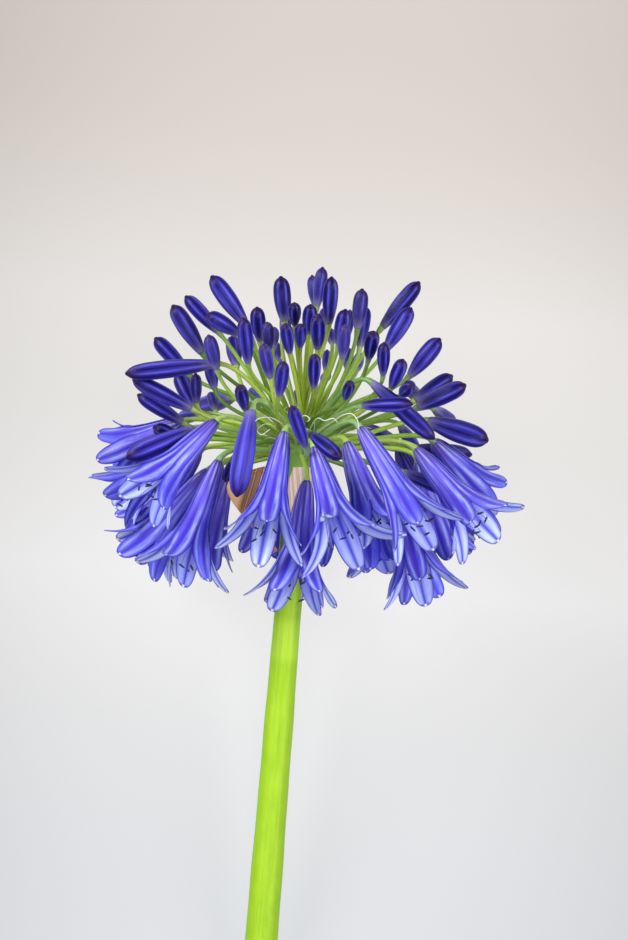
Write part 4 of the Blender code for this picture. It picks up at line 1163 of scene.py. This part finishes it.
def add_inputs(tree, inputs):
    """Adds the inputs of a node group, each with its name, kind and first value."""
    for label, kind, value in inputs:
        socket = tree.interface.new_socket(label, in_out="INPUT", socket_type=kind)
        if value is not None:
            socket.default_value = value


def new_tree(name, inputs):
    """An empty Geometry Nodes tree with named inputs; returns it with its first and last node."""
    tree = bpy.data.node_groups.new(name, "GeometryNodeTree")
    tree.interface.new_socket("Geometry", in_out="INPUT", socket_type="NodeSocketGeometry")
    add_inputs(tree, inputs)
    tree.interface.new_socket("Geometry", in_out="OUTPUT", socket_type="NodeSocketGeometry")
    return tree, tree.nodes.new("NodeGroupInput"), tree.nodes.new("NodeGroupOutput")


def named_input(tree, name, kind):
    """A node that reads an attribute of the lines or points."""
    node = tree.nodes.new("GeometryNodeInputNamedAttribute")
    node.data_type = kind
    node.inputs["Name"].default_value = name
    return node


def close_tree(tree, shape, output, start, last):
    """Smooth shading, real geometry and the finish, as every tree ends."""
    smooth = tree.nodes.new("GeometryNodeSetShadeSmooth")
    real = tree.nodes.new("GeometryNodeRealizeInstances")
    paint = tree.nodes.new("GeometryNodeSetMaterial")
    wire(
        tree,
        (shape, output, smooth, "Geometry"),
        (smooth, "Geometry", real, "Geometry"),
        (real, "Geometry", paint, "Geometry"),
        (start, "Finish", paint, "Material"),
        (paint, "Geometry", last, "Geometry"),
    )


def swept_stalks_tree():
    """Sweeps a round section along every line, as thick as the line's girth."""
    tree, start, last = new_tree("swept stalks", (
        ("Thickness", "NodeSocketFloat", 1.0),
        ("Sides", "NodeSocketInt", 10),
        ("Finish", "NodeSocketMaterial", None),
    ))
    curve = tree.nodes.new("GeometryNodeMeshToCurve")
    circle = tree.nodes.new("GeometryNodeCurvePrimitiveCircle")
    sweep = tree.nodes.new("GeometryNodeCurveToMesh")
    sweep.inputs["Fill Caps"].default_value = True
    wire(
        tree,
        (start, "Geometry", curve, "Mesh"),
        (named_input(tree, "girth", "FLOAT"), "Attribute", sweep, "Scale"),
        (start, "Sides", circle, "Resolution"),
        (start, "Thickness", circle, "Radius"),
        (curve, "Curve", sweep, "Curve"),
        (circle, "Curve", sweep, "Profile Curve"),
    )
    close_tree(tree, sweep, "Mesh", start, last)
    return tree


def anthers_tree():
    """Sets a small long pollen sac on every point, turned the way the point aims."""
    tree, start, last = new_tree("anthers", (
        ("Length", "NodeSocketFloat", ANTHER_LENGTH * MM),
        ("Radius", "NodeSocketFloat", ANTHER_RADIUS * MM),
        ("Finish", "NodeSocketMaterial", None),
    ))
    ball = tree.nodes.new("GeometryNodeMeshUVSphere")
    ball.inputs["Segments"].default_value = ANTHER_SEGMENTS
    ball.inputs["Rings"].default_value = ANTHER_RINGS
    half = tree.nodes.new("ShaderNodeMath")
    half.operation = "MULTIPLY"
    half.inputs[1].default_value = 0.5
    size = tree.nodes.new("ShaderNodeCombineXYZ")
    turn = tree.nodes.new("FunctionNodeAlignRotationToVector")
    turn.axis = "Z"
    place = tree.nodes.new("GeometryNodeInstanceOnPoints")
    wire(
        tree,
        (start, "Length", half, 0),
        (start, "Radius", size, "X"),
        (start, "Radius", size, "Y"),
        (half, "Value", size, "Z"),
        (named_input(tree, "aim", "FLOAT_VECTOR"), "Attribute", turn, "Vector"),
        (start, "Geometry", place, "Points"),
        (ball, "Mesh", place, "Instance"),
        (turn, "Rotation", place, "Rotation"),
        (size, "Vector", place, "Scale"),
    )
    close_tree(tree, place, "Instances", start, last)
    return tree


def grow(name, lines, tree, settings, slot, *nodes):
    """Runs a tree on the gathered lines or points and keeps the result as a plain mesh."""
    holder = bpy.data.objects.new(name + "_lines", lines.mesh(name + "_lines"))
    bpy.context.scene.collection.objects.link(holder)
    modifier = holder.modifiers.new("grow", "NODES")
    modifier.node_group = tree
    for item in tree.interface.items_tree:
        if item.in_out == "INPUT" and item.name in settings:
            modifier[item.identifier] = settings[item.name]
    graph = bpy.context.evaluated_depsgraph_get()
    mesh = bpy.data.meshes.new_from_object(
        holder.evaluated_get(graph), preserve_all_data_layers=True, depsgraph=graph
    )
    mesh.name = name
    face_outwards(mesh)
    bare = holder.data
    holder.modifiers.clear()
    bpy.data.objects.remove(holder)
    bpy.data.meshes.remove(bare)
    settle_in(name, mesh, slot, *nodes)


def streak_group():
    """Long fine streaks: noise drawn out along a petal, bud, bract or stalk."""
    tree = bpy.data.node_groups.new("long streaks", "ShaderNodeTree")
    add_inputs(tree, (
        ("Place", "NodeSocketVector", None),
        ("Fineness", "NodeSocketFloat", 8.0),
        ("Stretch", "NodeSocketFloat", 1.0),
        ("Seed", "NodeSocketFloat", 0.0),
    ))
    tree.interface.new_socket("Streak", in_out="OUTPUT", socket_type="NodeSocketFloat")
    start = tree.nodes.new("NodeGroupInput")
    last = tree.nodes.new("NodeGroupOutput")
    size = tree.nodes.new("ShaderNodeCombineXYZ")
    scaled = tree.nodes.new("ShaderNodeVectorMath")
    scaled.operation = "MULTIPLY_ADD"
    noise = tree.nodes.new("ShaderNodeTexNoise")
    noise.inputs["Scale"].default_value = 1.0
    noise.inputs["Detail"].default_value = 3.0
    noise.inputs["Roughness"].default_value = 0.6
    spread = tree.nodes.new("ShaderNodeMapRange")
    spread.inputs["From Min"].default_value = 0.3
    spread.inputs["From Max"].default_value = 0.7
    wire(
        tree,
        (start, "Fineness", size, "X"),
        (start, "Fineness", size, "Y"),
        (start, "Stretch", size, "Z"),
        (start, "Place", scaled, 0),
        (size, "Vector", scaled, 1),
        (start, "Seed", scaled, 2),
        (scaled, "Vector", noise, "Vector"),
        (noise, "Fac", spread, "Value"),
        (spread, "Result", last, "Streak"),
    )
    return tree


class Paint:
    """A material, and short calls that add and join its nodes."""

    def __init__(self, name, streaks, roughness, **sockets):
        self.material = bpy.data.materials.new(name)
        self.material.use_nodes = True
        self.tree = self.material.node_tree
        self.shader = self.tree.nodes["Principled BSDF"]
        self.streaks = streaks
        self.shader.inputs["Roughness"].default_value = roughness
        for label, value in sockets.items():
            self.shader.inputs[label.replace("_", " ")].default_value = value

    def put(self, socket, value):
        """Joins a socket to another, or writes a plain value into it."""
        if isinstance(value, bpy.types.NodeSocket):
            self.tree.links.new(value, socket)
        elif isinstance(value, tuple) and len(value) == 3 and socket.type == "RGBA":
            socket.default_value = (*value, 1.0)
        else:
            socket.default_value = value

    def parts(self, name):
        """The three parts of a vector attribute, and the vector."""
        read = self.tree.nodes.new("ShaderNodeAttribute")
        read.attribute_name = name
        split = self.tree.nodes.new("ShaderNodeSeparateXYZ")
        self.tree.links.new(read.outputs["Vector"], split.inputs["Vector"])
        return (*(split.outputs[axis] for axis in "XYZ"), read.outputs["Vector"])

    def math(self, operation, *values):
        """One sum on numbers or sockets."""
        node = self.tree.nodes.new("ShaderNodeMath")
        node.operation = operation
        for socket, value in zip(node.inputs, values):
            self.put(socket, value)
        return node.outputs["Value"]

    def times(self, first, second):
        """The product of two numbers or sockets."""
        return self.math("MULTIPLY", first, second)

    def over(self, surface, mask, share, colour):
        """Lays a colour over the surface where the mask is, at most by this share."""
        return self.mix(self.times(mask, share), surface, colour)

    def brighten(self, colour, factor):
        """The colour times a number."""
        node = self.tree.nodes.new("ShaderNodeVectorMath")
        node.operation = "SCALE"
        self.put(node.inputs[0], colour)
        self.put(node.inputs["Scale"], factor)
        return node.outputs["Vector"]

    def rise(self, value, low, high, start=0.0, end=1.0):
        """An easy change from start to end while the value goes from low to high."""
        node = self.tree.nodes.new("ShaderNodeMapRange")
        node.interpolation_type = "SMOOTHSTEP"
        for label, number in (
            ("Value", value), ("From Min", low), ("From Max", high), ("To Min", start), ("To Max", end),
        ):
            self.put(node.inputs[label], number)
        return node.outputs["Result"]

    def mix(self, factor, first, second):
        """Goes from the first colour to the second by the factor."""
        node = self.tree.nodes.new("ShaderNodeMix")
        node.data_type = "RGBA"
        for socket, value in zip(MIX_INPUTS, (factor, first, second)):
            self.put(node.inputs[socket], value)
        return node.outputs[MIX_OUTPUT]

    def ramp(self, value, *stops):
        """Colours at places from 0 to 1 along a value."""
        node = self.tree.nodes.new("ShaderNodeValToRGB")
        band = node.color_ramp
        while len(band.elements) < len(stops):
            band.elements.new(1.0)
        for element, (place, colour) in zip(band.elements, stops):
            element.position = place
            element.color = (*colour, 1.0)
        self.put(node.inputs["Fac"], value)
        return node.outputs["Color"]

    def streak(self, place, fineness, stretch, seed):
        """Long fine streaks that follow the piece."""
        node = self.tree.nodes.new("ShaderNodeGroup")
        node.node_tree = self.streaks
        for label, value in (
            ("Place", place), ("Fineness", fineness), ("Stretch", stretch), ("Seed", seed),
        ):
            self.put(node.inputs[label], value)
        return node.outputs["Streak"]

    def relief(self, height, strength, distance):
        """Raises and lowers the surface by a height."""
        node = self.tree.nodes.new("ShaderNodeBump")
        node.inputs["Strength"].default_value = strength
        node.inputs["Distance"].default_value = distance * MM
        self.put(node.inputs["Height"], height)
        self.put(self.shader.inputs["Normal"], node.outputs["Normal"])

    def color(self, value):
        """The finished colour of the surface."""
        self.put(self.shader.inputs["Base Color"], value)
        return self.material


def petal_finish(streaks):
    """Blue-violet petals: darker keel and edges outside with a painted sheen to either side of the keel,
    pale with a dark middle vein inside, where the pale is partly a painted highlight and the throat is
    darkened with painted shade.
    """
    # The emission is a faint painted blue glow: it stands in for light let through the thin petals, so
    # their shaded parts stay saturated.
    paint = Paint(
        "petal_violet", streaks, 0.38, Specular_IOR_Level=0.30,
        Subsurface_Weight=0.12, Subsurface_Radius=(0.3, 0.3, 1.0), Subsurface_Scale=1.2 * MM,
        Emission_Strength=PETAL_GLOW, Emission_Color=(0.04, 0.06, 1.0, 1.0),
    )
    across, _, along, place = paint.parts("skin")
    inner, whorl, shade, _ = paint.parts("tint")
    far = paint.math("ABSOLUTE", across)
    streak = paint.streak(place, 7.0, 1.1, 3.0)
    fine = paint.streak(place, 22.0, 1.6, 11.0)
    broad = paint.streak(place, 2.2, 2.6, 7.0)
    outside = paint.ramp(
        along,
        (0.0, (0.045, 0.018, 0.180)), (0.07, (0.115, 0.052, 0.440)), (0.28, (0.125, 0.092, 0.740)),
        (0.55, (0.056, 0.044, 0.630)), (0.80, (0.062, 0.058, 0.730)), (1.0, (0.150, 0.170, 0.900)),
    )
    outside = paint.over(outside, shade, 0.45, (0.100, 0.046, 0.520))
    # Painted sheen: a pale blue-white band down each side of the keel on the outer face, standing in for
    # the soft highlights of the lamps.
    band = paint.times(paint.rise(far, 0.12, 0.45), paint.rise(far, 0.50, 0.90, 1.0, 0.0))
    band = paint.times(band, paint.rise(broad, 0.20, 0.85, 0.15, 1.0))
    outside = paint.over(outside, band, 0.80, (0.460, 0.530, 1.000))
    keel = paint.times(paint.rise(far, 0.02, 0.26, 1.0, 0.0), paint.rise(along, 0.25, 0.55))
    outside = paint.over(outside, keel, 0.55, (0.060, 0.024, 0.430))
    # Inner face: darker and more violet towards the foot, painted shade in the throat of the tube, then
    # paler towards the lobes.
    inside = paint.ramp(
        along,
        (0.0, (0.10, 0.08, 0.50)), (0.45, (0.14, 0.12, 0.76)), (0.65, (0.22, 0.24, 0.96)),
        (0.9, (0.27, 0.31, 1.00)), (1.0, (0.22, 0.24, 0.92)),
    )
    # Pale flanks on the inner face: partly the petals' own paler colour, partly a painted highlight.
    pale = paint.times(paint.rise(far, 0.15, 0.42), paint.rise(far, 0.60, 0.92, 1.0, 0.2))
    pale = paint.times(pale, paint.rise(broad, 0.10, 0.8, 0.3, 1.0))
    pale = paint.times(pale, paint.rise(shade, 0.0, 0.8, 0.35, 1.0))
    inside = paint.over(inside, pale, 0.90, (0.72, 0.84, 1.0))
    vein = paint.rise(far, 0.02, 0.20, 1.0, 0.0)
    inside = paint.over(inside, vein, 0.90, (0.055, 0.050, 0.560))
    surface = paint.mix(inner, outside, inside)
    edge = paint.times(paint.rise(far, 0.86, 0.97), paint.rise(along, 0.45, 0.60))
    edge = paint.math("MAXIMUM", edge, paint.rise(along, 0.968, 0.988, 0.0, 0.8))
    surface = paint.over(surface, edge, 0.88, (0.040, 0.020, 0.290))
    surface = paint.brighten(surface, paint.rise(fine, 0.0, 1.0, 0.82, 1.10))
    point = paint.times(paint.rise(along, 0.975, 0.990), paint.rise(far, 0.12, 0.40, 1.0, 0.0))
    surface = paint.mix(point, surface, (0.80, 0.84, 0.93))
    paint.relief(paint.math("ADD", streak, paint.times(fine, 0.5)), 0.25, 0.10)
    return paint.color(surface)


def bud_finish(streaks):
    """Indigo bud skin: deep, lighter along the ribs, partly their own colour and partly a painted sheen,
    and at its neck, greyer on young buds.
    """
    paint = Paint("bud_indigo", streaks, 0.34, Specular_IOR_Level=0.14)
    _, _, along, place = paint.parts("skin")
    rib, light, shade, _ = paint.parts("tint")
    streak = paint.streak(place, 3.0, 1.2, 5.0)
    fine = paint.streak(place, 11.0, 2.0, 17.0)
    deep = paint.ramp(
        along,
        (0.0, (0.230, 0.270, 0.190)), (0.06, (0.130, 0.110, 0.230)), (0.19, (0.020, 0.015, 0.140)),
        (0.50, (0.006, 0.005, 0.120)), (0.80, (0.004, 0.003, 0.085)), (1.0, (0.020, 0.004, 0.030)),
    )
    bright = paint.ramp(
        along,
        (0.0, (0.230, 0.220, 0.330)), (0.08, (0.110, 0.085, 0.380)), (0.28, (0.062, 0.046, 0.480)),
        (0.70, (0.048, 0.036, 0.440)), (0.90, (0.030, 0.020, 0.280)), (1.0, (0.022, 0.006, 0.060)),
    )
    surface = paint.mix(light, deep, bright)
    # Lighter ribs and fine pale lines on them: partly the ribs' own paler colour, partly painted highlight
    # stripes that stand in for the lamps' sheen, fainter towards the tip.
    lift = paint.times(paint.rise(rib, 0.45, 1.0), paint.rise(streak, 0.15, 0.85, 0.2, 1.0))
    lift = paint.times(lift, paint.rise(along, 0.78, 1.0, 1.0, 0.15))
    surface = paint.over(surface, lift, 0.72, (0.130, 0.120, 0.780))
    line = paint.times(paint.rise(fine, 0.55, 0.95), paint.rise(rib, 0.30, 0.90))
    surface = paint.over(surface, line, 0.50, (0.260, 0.250, 0.860))
    seam = paint.times(paint.rise(rib, 0.02, 0.40, 1.0, 0.0), paint.rise(along, 0.05, 0.2))
    seam = paint.times(seam, paint.rise(light, 0.2, 0.9, 0.92, 0.55))
    seam = paint.times(seam, paint.rise(shade, 0.1, 0.9, 1.0, 0.45))
    surface = paint.mix(seam, surface, (0.004, 0.002, 0.050))
    neck = paint.times(paint.rise(along, 0.02, 0.34, 1.0, 0.0), paint.rise(shade, 0.3, 0.9, 0.05, 0.62))
    surface = paint.mix(neck, surface, (0.300, 0.290, 0.420))
    muted = paint.times(paint.rise(shade, 0.3, 1.0, 0.0, 0.34), paint.rise(streak, 0.2, 0.8, 0.5, 1.0))
    surface = paint.mix(muted, surface, (0.110, 0.095, 0.320))
    paint.relief(paint.math("ADD", streak, paint.times(fine, 0.6)), 0.35, 0.14)
    surface = paint.over(surface, shade, 0.16, (0.034, 0.010, 0.120))
    return paint.color(surface)


def stalk_finish(streaks):
    """Bright yellow-green stalk: darker under the crown, a paler band below, long patches, and painted
    shade down both flanks.
    """
    paint = Paint(
        "stalk_green", streaks, 0.45, Specular_IOR_Level=0.3,
        Subsurface_Weight=0.1, Subsurface_Radius=(0.5, 1.0, 0.2), Subsurface_Scale=2.0 * MM,
    )
    facing, _, along, place = paint.parts("skin")
    patch = paint.streak(place, 1.3, 26.0, 2.0)
    fine = paint.streak(place, 9.0, 7.0, 8.0)
    surface = paint.ramp(
        paint.times(along, -1.0),
        (0.0, (0.17, 0.34, 0.09)), (0.13, (0.19, 0.38, 0.08)), (0.22, (0.27, 0.46, 0.03)),
        (0.302, (0.23, 0.41, 0.006)), (0.320, (0.36, 0.58, 0.030)), (0.376, (0.36, 0.58, 0.025)),
        (0.390, (0.28, 0.49, 0.003)), (0.75, (0.27, 0.47, 0.003)), (1.0, (0.24, 0.43, 0.008)),
    )
    surface = paint.over(surface, patch, 0.50, (0.41, 0.62, 0.020))
    lines = paint.times(paint.rise(fine, 0.35, 1.0), 0.35)
    surface = paint.mix(lines, surface, (0.17, 0.35, 0.003))
    # Painted shade: darker green down both flanks, as the sides of the round stalk turn from the light.
    painted_flank_shade = paint.rise(paint.math("ABSOLUTE", facing), 0.45, 1.0, 0.0, 0.45)
    surface = paint.mix(painted_flank_shade, surface, (0.17, 0.36, 0.003))
    paint.relief(fine, 0.25, 0.10)
    return paint.color(surface)


def pedicel_finish(streaks):
    """Flower stalks: yellow-green at the crown, olive in its middle, bluer in front, grey at the flower."""
    paint = Paint("pedicel_green", streaks, 0.38, Specular_IOR_Level=0.55)
    _, _, along, place = paint.parts("skin")
    middle, front, shade, _ = paint.parts("tint")
    surface = paint.ramp(
        along,
        (0.0, (0.46, 0.68, 0.07)), (0.35, (0.34, 0.56, 0.05)), (0.75, (0.26, 0.46, 0.045)),
        (0.93, (0.24, 0.40, 0.10)), (1.0, (0.20, 0.23, 0.20)),
    )
    yellow = paint.times(paint.rise(shade, 0.45, 1.0), 0.75)
    surface = paint.mix(yellow, surface, (0.62, 0.78, 0.12))
    dull = paint.times(paint.rise(shade, 0.45, 0.0), 0.80)
    surface = paint.mix(dull, surface, (0.070, 0.170, 0.020))
    surface = paint.over(surface, middle, 0.62, (0.33, 0.38, 0.012))
    surface = paint.over(surface, front, 0.65, (0.32, 0.56, 0.26))
    fine = paint.streak(place, 30.0, 14.0, 4.0)
    surface = paint.over(surface, fine, 0.30, (0.08, 0.19, 0.015))
    return paint.color(surface)


def bract_finish(streaks, name, pale):
    """Dry papery bract: tan with brown veins and a pale rosy part, with a painted glow of its own colour.
    """
    paint = Paint(name, streaks, 0.62, Specular_IOR_Level=0.3, Emission_Strength=BRACT_GLOW)
    _, _, along, place = paint.parts("skin")
    _, _, lean, bundle = paint.parts("tint")
    broad = paint.streak(place, 1.6, 1.3, 6.0)
    veins = paint.streak(bundle, 1.0, 2.3, 21.0)
    tan = paint.mix(paint.rise(broad, 0.25, 0.8), (0.74, 0.44, 0.20), (0.86, 0.64, 0.42))
    surface = paint.mix(pale * 0.85, tan, (0.82, 0.70, 0.62))
    heart = paint.times(paint.rise(lean, -16.2, -13.6), paint.rise(along, 0.55, 0.80, 1.0, 0.2))
    surface = paint.over(surface, heart, 0.55 - 0.6 * pale, (0.42, 0.16, 0.06))
    brown = paint.times(paint.rise(veins, 0.25, 0.62), paint.math("MULTIPLY_ADD", heart, 0.80, 0.10))
    surface = paint.over(surface, brown, 1.0 - pale * 0.75, (0.070, 0.022, 0.010))
    rusty = paint.rise(along, 0.55, 0.85, 0.0, 0.85 - pale * 0.6)
    surface = paint.mix(rusty, surface, (0.50, 0.20, 0.06))
    paint.relief(veins, 0.5, 0.20)
    # Painted glow in the bract's own colour: it lifts the bract where the head shades it, standing in for
    # light let through the paper.
    paint.put(paint.shader.inputs["Emission Color"], surface)
    return paint.color(surface)


def filament_finish(streaks):
    """Pale violet-blue stamens, lighter towards their ends."""
    paint = Paint("filament_lilac", streaks, 0.4)
    _, _, along, _ = paint.parts("skin")
    return paint.color(paint.ramp(
        along, (0.0, (0.22, 0.20, 0.72)), (0.7, (0.36, 0.37, 0.86)), (1.0, (0.20, 0.18, 0.60)),
    ))


def anther_finish(streaks):
    """Blue-black pollen sacs with a dusty bloom."""
    paint = Paint("anther_dark", streaks, 0.7)
    place = paint.tree.nodes.new("ShaderNodeTexCoord").outputs["Object"]
    dust = paint.streak(place, 1800.0, 1800.0, 0.0)
    return paint.color(paint.mix(paint.times(dust, 0.35), (0.012, 0.012, 0.055), (0.09, 0.10, 0.24)))


def thread_finish(streaks):
    """Papery white threads, greener at their feet."""
    paint = Paint("thread_white", streaks, 0.55)
    _, _, along, _ = paint.parts("skin")
    return paint.color(paint.ramp(
        along, (0.0, (0.42, 0.52, 0.22)), (0.4, (0.72, 0.74, 0.58)), (1.0, (0.80, 0.78, 0.70)),
    ))


def floor_finish(streaks):
    """A pale paper surface that glows with painted light: brightest behind the flower, dimmer and warmer
    towards the top of the view, dimmer towards the sides, and so bright of itself that the flower's shadow
    on it stays faint.
    """
    paint = Paint("floor_paper", streaks, 0.9, Specular_IOR_Level=0.1, Emission_Strength=FLOOR_GLOW)
    place = paint.tree.nodes.new("ShaderNodeTexCoord").outputs["Object"]
    split = paint.tree.nodes.new("ShaderNodeSeparateXYZ")
    paint.put(split.inputs["Vector"], place)
    # Painted pool of light: brightest behind the flower, dimmer and warmer towards the top of the view,
    # dimmer and bluer below.
    paper = paint.ramp(
        paint.rise(split.outputs["Y"], -0.10, 0.25),
        (0.0, (0.694, 0.707, 0.731)), (0.13, (0.750, 0.752, 0.757)), (0.32, (0.870, 0.866, 0.862)),
        (0.55, (0.815, 0.798, 0.777)), (0.75, (0.780, 0.757, 0.738)), (1.0, (0.645, 0.588, 0.546)),
    )
    # Painted fall-off: the glow dims towards both sides.
    wide = paint.math("SUBTRACT", split.outputs["X"], FLOOR_MIDDLE)
    wide = paint.times(wide, wide)
    painted_falloff = paint.math("MINIMUM", paint.times(wide, FLOOR_FALL), FLOOR_MOST_DIM)
    paper = paint.mix(painted_falloff, paper, (0.0, 0.0, 0.0))
    away = paint.math("MAXIMUM", paint.rise(split.outputs["Y"], 0.28, 0.75), paint.rise(wide, 0.033, 0.30))
    away = paint.math("MAXIMUM", away, paint.rise(split.outputs["Y"], -0.22, -0.60))
    paper = paint.mix(away, paper, FLOOR_AWAY)
    # The painted glow gives the paper most of its brightness; its colour under the lamps is kept dark, so
    # the flower's shadow on it stays faint.
    paint.put(paint.shader.inputs["Emission Color"], paper)
    return paint.color(paint.mix(FLOOR_DARK, paper, (0.0, 0.0, 0.0)))


def make_floor(streaks):
    """The surface that the flower lies on."""
    bm = bmesh.new()
    bmesh.ops.create_grid(bm, x_segments=1, y_segments=1, size=FLOOR_SIZE)
    mesh = bpy.data.meshes.new("floor")
    bm.to_mesh(mesh)
    bm.free()
    mesh.materials.append(floor_finish(streaks))
    floor = bpy.data.objects.new("floor", mesh)
    bpy.context.scene.collection.objects.link(floor)


def add_light(name, place, aim, size, power):
    """A large soft lamp at a place, in metres, that shines at a point."""
    lamp = bpy.data.lights.new(name, "AREA")
    lamp.size = size
    lamp.energy = power
    obj = bpy.data.objects.new(name, lamp)
    obj.location = place
    obj.rotation_euler = (Vector(aim) - Vector(place)).to_track_quat("-Z", "Y").to_euler()
    bpy.context.scene.collection.objects.link(obj)


def light_scene():
    """Soft even studio light."""
    world = bpy.data.worlds.new("studio")
    world.use_nodes = True
    sky = world.node_tree.nodes["Background"]
    sky.inputs["Color"].default_value = WORLD_COLOUR
    sky.inputs["Strength"].default_value = WORLD_LIGHT
    bpy.context.scene.world = world
    for name, place, size, power in LAMPS:
        add_light(name, place, LAMP_AIM, size, power)
    bpy.context.scene.view_settings.view_transform = "Standard"


def add_camera():
    """The camera, which looks straight along the head's own z axis from far off."""
    camera = bpy.data.cameras.new("photo_view")
    camera.sensor_width = SENSOR
    camera.lens = SENSOR * VIEW_DISTANCE / VIEW_HEIGHT
    camera.clip_end = VIEW_END
    place = lay(np.array(VIEW_MIDDLE) + np.array((0.0, 0.0, VIEW_DISTANCE)))
    obj = bpy.data.objects.new("photo_view", camera)
    obj.matrix_world = Matrix.Translation(place) @ lie_down().to_4x4()
    bpy.context.scene.collection.objects.link(obj)
    bpy.context.scene.camera = obj


def lower_rest_buds(settler):
    """Lets the two long buds that carry the head down until they touch the surface."""
    for floret, handle in zip(settler.florets, settler.handles):
        if floret.node not in REST_BUDS:
            continue
        form = Form()
        base, tip = settler.points[handle[1]], settler.points[handle[2]]
        add_bud(form, base, tip, floret.size, 0.2, random.Random(0))
        lowest = float((lay(np.concatenate(form.points))[:, 2]).min()) / MM
        settler.points[handle[1]] -= TURN[2] * lowest
        settler.points[handle[2]] -= TURN[2] * lowest


def make_florets(settler, streaks, sweep):
    """Every bud and open flower of the settled head, with its flower stalk and stamens."""
    points = settler.points
    petal = petal_finish(streaks)
    bud = bud_finish(streaks)
    green = pedicel_finish(streaks)
    filaments = Lines()
    anthers = Lines()
    scape_stalks = Lines()
    bunches = {}
    for number, (floret, handle) in enumerate(zip(settler.florets, settler.handles)):
        chance = random.Random(FLORET_SEED + number)
        crown = floret.kind == "crown"
        path = pedicel_path(floret, handle, points, FOOT_SEAT if crown else ROOT_RADIUS)
        front = 0.0 if crown else max(0.0, min(1.0, (floret.base[2] - FRONT_DEPTH) / FRONT_DEPTH))
        middle = max(0.0, 1.0 - abs(floret.base[0]) / OLIVE_REACH) if crown else 0.0
        tint = (middle, front, chance.uniform(0.0, 1.0))
        base, tip = points[handle[1]], points[handle[2]]
        foot = bud_radius(0.0, floret.size)
        if crown:
            form, lines = bunches.setdefault(floret.node, (Form(), Lines()))
            lines.add(path, pedicel_girths(CROWN_STALK_RADIUS, foot), tint)
            young = YOUNG_SHADE if floret.size < YOUNG_BUD_SIZE else GROWN_SHADE
            add_bud(form, base, tip, floret.size, chance.uniform(0.0, CROWN_LIGHT), chance, young)
        elif floret.kind == "lone":
            scape_stalks.add(path, pedicel_girths(LONE_STALK_RADIUS, foot), tint)
            form = Form()
            add_bud(form, base, tip, floret.size, BUD_LIGHT[floret.node], chance)
            name = floret.node + "_skin"
            settle_in(name, form.mesh(name, bud), "bud_indigo", floret.node)
        else:
            scape_stalks.add(path, pedicel_girths(BLOOM_STALK_RADIUS, FOOT_OF_TUBE_RADIUS + 0.1), tint)
            make_petals(floret, handle, points, number, petal)
            add_stamens(filaments, anthers, floret, handle, points, number)
    for node, (form, lines) in sorted(bunches.items()):
        settle_in(node + "_skin", form.mesh(node + "_skin", bud), "bud_indigo", node)
        settings = {"Sides": CROWN_STALK_SIDES, "Finish": green}
        grow(node + "_stalks", lines, sweep, settings, "stalk_green", node)
    settings = {"Sides": SCAPE_STALK_SIDES, "Finish": green}
    grow("pedicels", scape_stalks, sweep, settings, "stalk_green", "scape")
    settings = {"Sides": FILAMENT_SIDES, "Finish": filament_finish(streaks)}
    grow("filaments", filaments, sweep, settings, "petal_violet")
    grow("anthers", anthers, anthers_tree(), {"Finish": anther_finish(streaks)}, "bud_indigo")


def main():
    """Builds the flower over its solids, then the surface, the light and the camera."""
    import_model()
    settler = Settler(all_florets())
    settler.run()
    lower_rest_buds(settler)
    streaks = streak_group()
    sweep = swept_stalks_tree()
    make_stalk(stalk_finish(streaks))
    for name, line, colour, pale, seed, curl, lean in BRACTS:
        make_spathe(name, line, bract_finish(streaks, colour, pale), seed, curl, lean)
    make_florets(settler, streaks, sweep)
    threads = Lines()
    add_threads(threads)
    settings = {"Sides": THREAD_SIDES, "Finish": thread_finish(streaks)}
    grow("bract_threads", threads, sweep, settings, "dry_bract")
    make_floor(streaks)
    light_scene()
    add_camera()


main()
